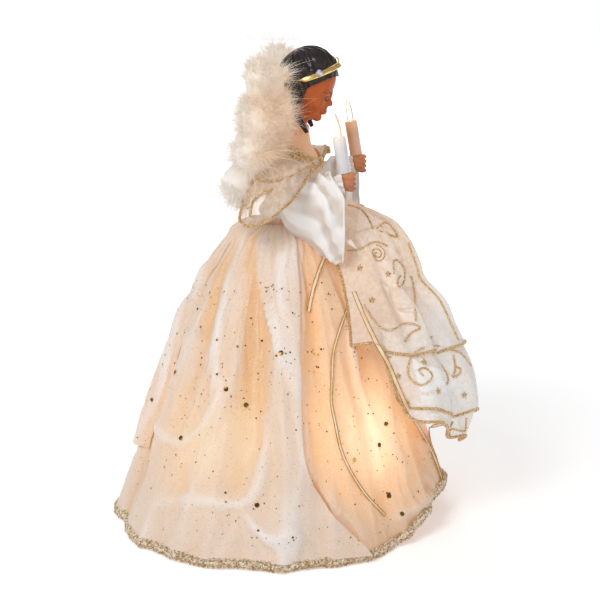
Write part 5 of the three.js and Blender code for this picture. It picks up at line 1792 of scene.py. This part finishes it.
class TOPPER_OT_arms(TopperStep, bpy.types.Operator):
    """Make the bell sleeves, the hands and the candles with their lamps"""

    bl_idname = "topper.arms"
    bl_label = "Sleeves, hands and candles"

    # The candle's foot and its way up, its length, radius and wall, and how deep the lamp's plug sits in it
    FOOT = np.array([0.043, -0.0555, 0.29614])
    AXIS = np.array([0, math.sin(math.radians(10)), math.cos(math.radians(10))])
    LENGTH, RADIUS, WALL, PLUG = 0.0285, 0.0052, 0.001, 0.011
    SOCKET = 0.0032
    # A turned profile starts this far off its middle line
    AXLE = 0.0001
    # The glass above its shoulder: shares of its height and radii
    GLASS = [(0.5, 0.0029), (0.6, 0.0027), (0.75, 0.0021), (0.88, 0.0011), (0.95, 0.0005), (0.985, 0.0002)]
    WIRE = [(-0.0009, 0.001), (-0.001, 0.008), (0, 0.0115), (0.001, 0.008), (0.0009, 0.001)]
    HALF_HAND = np.array([0.00625, 0.0075, 0.0085])

    def make(self, context):
        for side, sign in SIDES:
            self.sleeve(side, sign)
            self.cuff(side, sign)
            self.hand(side, sign)
            self.candle(side, sign)

    def sleeve(self, side, sign):
        turned, share = np.broadcast_arrays((np.arange(180) / 180)[None], np.linspace(0, 1, 110)[:, None])
        grid = crumpled(on_sleeve(turned, share), 0.0015, 21, closed=True)
        middle = grid.mean(axis=1, keepdims=True)
        soft = np.cos(5 * TURN * turned + 10 * share + 1.2 * np.sin(9 * share))
        fine = np.sin(11 * TURN * turned - 9 * share)
        drape = (0.0024 * soft + 0.0006 * fine) * smooth(0.3, 0.7, share) * (1 - 0.6 * smooth(0.85, 1, share))
        grid = mirrored(grid + unit(grid - middle) * drape[..., None], sign)
        piece = grid_mesh(f"sleeve_cloth_{side}", grid, closed=True)
        # The fold mark places painted shade in the hollows of the folds and a painted highlight on their
        # crests
        mark(piece, "fold", np.clip(0.5 + 0.4 * soft * smooth(0.1, 0.3, share) + 0.15 * fine, 0, 1))
        wear(piece, sleeve_satin(), body=f"arm_{side}", replaces=f"sleeve_{side}")
        rim = many(f"sleeve_hem_{side}", [tube(grid[-1], 0.0007, 8, looped=True)])
        # The hem takes the painted highlight tone all round
        mark(rim, "fold", np.ones(len(rim.data.vertices)))
        wear(rim, sleeve_satin(), body=f"arm_{side}")

    def wrist(self, steps):
        """The way from inside the sleeve to the hand."""
        return smooth_path([arm_point(1.05, 0.64, 0.57), arm_point(1.03, 0.8, 0.25), GRIP], steps)

    def cuff(self, side, sign):
        """A soft frill that closes the sleeve round the wrist"""
        route = self.wrist(40)[:35]
        share = np.linspace(0, 1, len(route))[:, None]
        turned = turns(120)[None]
        beside, over = square_to(unit(np.gradient(route, axis=0)), (0, 0, 1))
        reach = 0.0046 + 0.0036 * share**2 + 0.0011 * share * np.sin(9 * turned + 3 * share)
        round_wrist = turned_by(turned[..., None], beside[:, None], over[:, None])
        grid = mirrored(route[:, None] + reach[..., None] * round_wrist, sign)
        piece = grid_mesh(f"cuff_{side}", grid, closed=True)
        wear(piece, white_satin(), body=f"arm_{side}")

    def hand(self, side, sign):
        table = [((0, 0, 0), (0.82, 0.82, 0.86)), ((-0.62, -0.2, 0.55), (0.35, 0.62, 0.3))]
        for rise in np.linspace(-0.68, 0.68, 4):
            table += [((0.3, -0.5, rise), (0.62, 0.5, 0.22)), ((-0.2, -0.5, rise), (0.45, 0.4, 0.2))]
        table += [((0.1, 0.9, -0.1), (0.5, 0.6, 0.5))]
        directions = directions_of(70, 90)
        masses = masses_of(table, self.HALF_HAND, mirror=False)
        fist = directions * skin_distance(masses, np.zeros(3), directions, 0.02)[..., None] + GRIP
        shapes = [(mirrored(fist, sign).reshape(-1, 3), ring_faces(70, 90))]
        shapes.append(tube(mirrored(self.wrist(24), sign), np.linspace(0.0037, 0.0042, 24), 24))
        piece = many(f"fist_{side}", shapes)
        wear(piece, doll_skin(), body=f"arm_{side}", replaces=f"hand_{side}")

    def standing(self, name, shape, sign):
        """A shape moved onto the candle's foot and along its lean."""
        points, faces = shape
        over = np.array([0, self.AXIS[2], -self.AXIS[1]])
        placed = points[:, :1] * np.array([1, 0, 0]) + points[:, 1:2] * over + points[:, 2:] * self.AXIS
        return many(name, [((placed + self.FOOT) * (sign, 1, 1), faces)])

    def candle(self, side, sign):
        arm, lamp = f"arm_{side}", f"lamp_{side}"
        length, radius, bore = self.LENGTH, self.RADIUS, self.RADIUS - self.WALL
        wax = [
            (self.AXLE, -0.01), (0.0026, -0.0099), (0.0026, 0), (radius - 0.0003, 0), (radius, 0.0004),
            (radius, length - 0.0012), (radius - 0.0002, length - 0.0003), (radius - 0.0005, length),
            (bore + 0.0002, length - 0.0001), (bore, length - 0.0006), (bore, length - self.PLUG),
            (self.AXLE, length - self.PLUG - 0.0002),
        ]
        piece = self.standing(f"candle_{side}", lathe(wax, 56), sign)
        wear(piece, candle_white(), body=arm, replaces=f"candle_tube_{side}")
        deep, seat, snug = length - self.PLUG + 0.0003, length - self.PLUG / 2, bore - 0.00035
        base = [
            (self.AXLE, deep), (snug, deep), (snug, length - 0.002),
            (self.SOCKET, length - 0.0012), (self.SOCKET, seat), (self.AXLE, seat),
        ]
        piece = self.standing(f"lamp_base_{side}", lathe(base), sign)
        wear(piece, cream_plastic(), body=lamp, replaces=f"candle_lamp_plug_{side}")
        foot, top = seat + 0.0003, length + 0.0205
        bulb = [(self.AXLE, foot), (0.0024, foot + 0.0002), (0.0029, foot + 0.0025)]
        bulb += [(wide, mix(foot, top, rise)) for rise, wide in self.GLASS] + [(self.AXLE / 2, top)]
        piece = self.standing(f"bulb_{side}", lathe(bulb), sign)
        wear(piece, lamp_glass(), body=lamp, replaces=f"candle_lamp_glass_{side}")
        wire = smooth_path([(x, 0, foot + rise) for x, rise in self.WIRE], 30)
        wear(self.standing(f"filament_{side}", tube(wire, 0.00022, 6), sign), filament_light(), body=lamp)


class TOPPER_OT_head(TopperStep, bpy.types.Operator):
    """Make the face, the sculpted hair with its ringlets and the tiara"""

    bl_idname = "topper.head"
    bl_label = "Head, hair and tiara"

    FEATURES = [
        ((-0.098, -0.205, 0.445), (0.058, 0.05, 0.04)), ((-0.02, -0.272, 0.274), (0.045, 0.026, 0.016)),
        ((0, -0.258, 0.238), (0.05, 0.033, 0.019)), ((-0.036, -0.268, 0.353), (0.027, 0.036, 0.023)),
        ((-0.11, -0.208, 0.55), (0.10, 0.05, 0.028)), ((-0.245, 0.0, 0.42), (0.035, 0.055, 0.085)),
        ((0, -0.318, 0.38), (0.026, 0.026, 0.022)), ((0, -0.268, 0.318), (0.03, 0.03, 0.03)),
    ]
    # Painted lines, each with its radius and its places as shares of the head's height
    BROW = (0.00055, [(0.035, -0.3, 0.515), (0.08, -0.3, 0.548), (0.13, -0.28, 0.555), (0.185, -0.22, 0.528)])
    LASH = (0.0005, [
        (0.045, -0.3, 0.437), (0.075, -0.3, 0.42), (0.11, -0.3, 0.413), (0.15, -0.27, 0.428),
        (0.17, -0.25, 0.45),
    ])
    LID = (0.00022, [(0.05, -0.3, 0.468), (0.09, -0.3, 0.482), (0.13, -0.28, 0.479), (0.165, -0.25, 0.462)])
    RINGLET = np.array([(0.33, 0.09, 0.22), (0.31, 0.02, 0.12), (0.29, -0.08, 0.04), (0.27, -0.17, -0.04)])
    STRANDS = 5

    def make(self, context):
        self.face()
        self.features()
        self.hair()
        self.ringlets()
        self.tiara()

    def skin_at(self, directions):
        masses = masses_of(HEAD_MASSES + self.FEATURES, HEAD_HEIGHT)
        distance = skin_distance(masses, HEAD_MIDDLE, directions, HEAD_HEIGHT)
        return HEAD_MIDDLE + directions * distance[..., None]

    def face(self):
        grid = self.skin_at(directions_of(150, 220))
        grid[..., 2] = np.maximum(grid[..., 2], SEAT)
        piece = grid_mesh("face", bowed(grid), closed=True, caps=True)
        wear(piece, doll_face(), replaces="head")

    def on_face(self, points, lift):
        """Places on the face in front of points given as shares of the head's height."""
        directions = unit(np.asarray(points, float) * HEAD_HEIGHT - HEAD_MIDDLE)
        return bowed(self.skin_at(directions) + directions * lift)

    def features(self):
        """Fine painted brows and lashes, which stand off the face by a hair"""
        shapes = []
        for _, sign in SIDES:
            for size, line in (self.BROW, self.LASH, self.LID):
                path = smooth_path(self.on_face(np.array(line) * (sign, 1, 1), 0.0001), 40)
                taper = size * (0.35 + 0.65 * np.sin(math.pi * np.linspace(0.06, 0.94, 40)))
                shapes.append(tube(path, taper, 8))
        wear(many("brows_and_lashes", shapes), sculpted_hair())

    def hair(self):
        heading = turns(300)[None]
        outer = np.linspace(0.02, 1, 120)[:, None]
        inner = np.array([1, 0.8, 0.5, 0.2, 0.02])[:, None]
        grid = hair_surface(heading, outer, HAIR_THICKNESS, 0.0007)
        grid = bowed(np.concatenate([grid, hair_surface(heading, inner, 0.0)]))
        piece = grid_mesh("sculpted_hair", grid, closed=True, caps=True)
        wear(piece, sculpted_hair(), replaces="hair")

    def ringlets(self):
        share = np.linspace(0, 1, 120)
        size = 0.0024 * (0.35 + 0.65 * np.sin(math.pi * (0.12 + 0.8 * share)))
        for side, sign in SIDES:
            root = hair_surface(np.array(sign * math.radians(108)), np.array(1.0), HAIR_THICKNESS / 2)
            root = root - np.array([0, 0, 0.002])
            route = np.concatenate([root[None], self.RINGLET * (sign, 1, 1) * HEAD_HEIGHT])
            route = smooth_path(route, len(share))
            beside, over = square_to(unit(np.gradient(route, axis=0)), (1.0, 0.1, 0.0))
            shapes = []
            for strand in range(self.STRANDS):
                turn = (20 * share + TURN * strand / self.STRANDS)[:, None]
                path = route + (size * 0.75)[:, None] * turned_by(turn, beside, over)
                shapes.append(tube(bowed(path), size * 0.52, 8))
            piece = many(f"ringlet_{side}", shapes)
            wear(piece, sculpted_hair(), replaces=f"hair_curl_{side}")

    def on_tiara(self, heading, lift):
        directions = about_crown(heading, TIARA_SPREAD, TIARA_TILT)
        reach = head_skin(directions) + HAIR_GAP + 1.08 * HAIR_THICKNESS + SEAT + lift
        return HEAD_MIDDLE + directions * reach[..., None]

    def tiara(self):
        heading = np.linspace(-1.7, 1.7, 160)
        inside, outside = self.on_tiara(heading, 0), self.on_tiara(heading, 0.001)
        out = unit(inside - HEAD_MIDDLE)
        across = unit(about_crown(heading, TIARA_SPREAD + 0.1, TIARA_TILT) - out)
        across = across * mix(0.0022, 0.0008, smooth(1.45, 1.7, np.abs(heading)))[:, None]
        rim, ridge = 0.55, 0.0004
        section = [
            inside + across, inside - across, outside - across,
            outside - across * rim + out * ridge, outside + across * rim + out * ridge, outside + across,
        ]
        rings = bowed(np.stack(section, axis=1))
        band = many("tiara", [(rings.reshape(-1, 3), ring_faces(160, 6))])
        wear(band, bright_gold(), replaces="tiara_band")
        for side, sign in SIDES:
            at = np.array(sign * math.radians(58))
            seat = self.on_tiara(at, 0.0013)
            out_at = unit(seat - HEAD_MIDDLE)
            points, faces = bead((0, 0, 0), 0.0026, 7, 10)
            gem = many(f"gem_{side}", [(bowed(points + seat + out_at * 0.0026), faces)])
            gem.data.shade_flat()
            wear(gem, cut_gem(), replaces=f"tiara_gem_{side}")
            ring = 0.0024 * turned_by(turns(36)[:, None], *square_to(out_at, (0, 0, 1)))
            claws = tube(bowed(seat + out_at * 0.0007 + ring), 0.0004, 8, looped=True)
            wear(many(f"gem_rim_{side}", [claws]), bright_gold())
        self.loop()

    def loop(self):
        front = np.array(0.0)
        out_at = unit(self.on_tiara(front, 0) - HEAD_MIDDLE)
        back_way = unit(out_at - about_crown(front, TIARA_SPREAD + 0.1, TIARA_TILT))
        middle = self.on_tiara(front, 0.0008) + 0.0042 * back_way
        ring = middle + 0.0022 * turned_by(turns(48)[:, None], out_at, back_way)
        shapes = [tube(bowed(ring), 0.00055, 10, looped=True)]
        wear(many("front_loop", shapes), bright_gold(), replaces="tiara_loop")


class TOPPER_OT_wings(TopperStep, bpy.types.Operator):
    """Make the soft marabou of both wings, barb by barb"""

    bl_idname = "topper.wings"
    bl_label = "Wings"

    MIDDLE = (0.040, 0.014, 0.322)
    FARTHEST = 0.15
    CARD_SHARE = 0.72
    TUFT = 34
    BARB_STEPS = 4
    MASSES = [
        ((0.038, 0.003, 0.366), (0.014, 0.014, 0.020)), ((0.048, 0.012, 0.367), (0.017, 0.014, 0.021)),
        ((0.037, -0.001, 0.342), (0.014, 0.016, 0.020)), ((0.052, 0.012, 0.340), (0.019, 0.017, 0.022)),
        ((0.034, 0.006, 0.318), (0.014, 0.014, 0.018)), ((0.052, 0.018, 0.314), (0.020, 0.017, 0.020)),
        ((0.032, 0.010, 0.296), (0.014, 0.014, 0.015)), ((0.045, 0.027, 0.289), (0.018, 0.018, 0.017)),
        ((0.038, 0.028, 0.273), (0.014, 0.012, 0.012)),
    ]

    def make(self, context):
        for side, sign in SIDES:
            draw = np.random.default_rng(wings().seed + (sign > 0))
            core = self.core()
            faces = ring_faces(*core.shape[:2])
            down = mesh_of(f"wing_core_{side}", core.reshape(-1, 3) * (sign, 1, 1), faces)
            mark(down, "strand", 0.5 + 0.5 * rough(core, 0.003, 21))
            wear(down, marabou(), replaces=f"wing_feathers_{side}")
            points, faces, tones = self.barbs(draw, sign)
            barbs = wear(mesh_of(f"wing_barbs_{side}", points, faces), marabou())
            mark(barbs, "strand", tones)
            self.panel(side)

    def panel(self, side):
        """The card that carries the feathers, trimmed, so that it shows only from behind"""
        card = frame["nodes"][f"wing_card_{side}"]
        points = np.array([card.matrix_world @ vertex.co for vertex in card.data.vertices])
        root = points[np.abs(points[:, 0]).argmin()]
        faces = [list(face.vertices) for face in card.data.polygons]
        piece = mesh_of(f"wing_panel_{side}", root + (points - root) * self.CARD_SHARE, faces)
        piece.data.shade_flat()
        wear(piece, white_plastic(), replaces=f"wing_card_{side}")

    def masses(self, drawn_in):
        middles, radii = masses_of(self.MASSES, 1.0, mirror=False)
        return middles, radii - drawn_in

    def core(self):
        directions = directions_of(90, 80)
        reach = skin_distance(self.masses(0.004), self.MIDDLE, directions, self.FARTHEST)
        points = self.MIDDLE + directions * reach[..., None]
        bumps = rough(points, 0.006, 5) + 0.5 * rough(points, 0.0028, 11)
        return points + directions * (0.0016 * bumps)[..., None]

    def barbs(self, draw, sign):
        """Curved barbs that spring in tufts from the core and thin to nothing"""
        tufts = max(1, wings().barbs // self.TUFT)
        count = tufts * self.TUFT
        spread = unit(draw.normal(size=(tufts, 3)) * (0.6, 0.6, 1.3))
        middles, radii = self.masses(0.005)
        distance = skin_distance((middles, radii), self.MIDDLE, spread, self.FARTHEST)
        start = self.MIDDLE + spread * distance[:, None]
        pull = ((start[:, None] - middles) / radii) ** 2
        weight = np.exp(MERGE * (1 - pull.sum(-1)))[..., None]
        out = unit((weight * (start[:, None] - middles) / radii**2).sum(1))
        flow = unit(start - np.array([0.02, 0.005, 0.27]))
        lean = unit(out + 0.7 * flow + 0.3 * draw.normal(size=out.shape))
        root = self.each(start) + draw.normal(size=(count, 3)) * 0.0009
        way = unit(self.each(lean) + 0.62 * draw.normal(size=(count, 3)))
        curl = unit(self.each(draw.normal(size=(tufts, 3))) + draw.normal(size=(count, 3)) * 0.6)
        reach = wings().plume_length * draw.uniform(0.35, 1.0, (count, 1))
        reach = reach * np.where(draw.uniform(size=reach.shape) < 0.08, 1.8, 1.0)
        wide = unit(np.cross(way, curl)) * 0.00014
        points, faces = [], []
        for t in np.linspace(0, 1, self.BARB_STEPS):
            sag = np.array([0, 0, 1]) * reach * 0.12 * t**2
            spine = root + way * reach * t + curl * reach * 0.42 * t**2 - sag
            half = wide * (1 - t) ** 0.6
            points += [spine - half, spine + half]
        each = 2 * self.BARB_STEPS
        for i in range(self.BARB_STEPS - 1):
            a = np.arange(count) * each + 2 * i
            faces.append(np.stack([a, a + 1, a + 3, a + 2], axis=-1))
        tones = np.repeat(draw.uniform(0, 1, tufts), self.TUFT * each)
        return np.stack(points, axis=1).reshape(-1, 3) * (sign, 1, 1), np.concatenate(faces).tolist(), tones

    def each(self, values):
        """A tuft's value for each of its barbs."""
        return np.repeat(values, self.TUFT, axis=0)


# The add-on's panel and its order of work

GROUPS = {
    "topper_stage": TopperStage, "topper_dress": TopperDress,
    "topper_doll": TopperDoll, "topper_wings": TopperWings,
}
STEPS = (
    TOPPER_OT_stage, TOPPER_OT_frame_finishes, TOPPER_OT_torso, TOPPER_OT_skirt, TOPPER_OT_skirt_trim,
    TOPPER_OT_cascade, TOPPER_OT_arms, TOPPER_OT_drapes, TOPPER_OT_head, TOPPER_OT_wings,
)


class TOPPER_PT_panel(bpy.types.Panel):
    """The topper's sizes, colours and steps"""

    bl_idname = "TOPPER_PT_panel"
    bl_label = "Angel Tree Topper"
    bl_space_type = "VIEW_3D"
    bl_region_type = "UI"
    bl_category = "Topper"

    def draw(self, context):
        for group_name, group in GROUPS.items():
            box = self.layout.box()
            box.label(text=group.__doc__)
            for name in group.__annotations__:
                box.prop(getattr(context.scene, group_name), name)
        for step in STEPS:
            self.layout.operator(step.bl_idname)


CLASSES = (*GROUPS.values(), *STEPS, TOPPER_PT_panel)


def register():
    for made in CLASSES:
        bpy.utils.register_class(made)
    for name, group in GROUPS.items():
        setattr(bpy.types.Scene, name, PointerProperty(type=group))


def unregister():
    for name in GROUPS:
        delattr(bpy.types.Scene, name)
    for made in reversed(CLASSES):
        bpy.utils.unregister_class(made)


def main():
    register()
    for step in STEPS:
        group, name = step.bl_idname.split(".")
        getattr(getattr(bpy.ops, group), name)()
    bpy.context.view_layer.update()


if __name__ == "__main__":
    main()
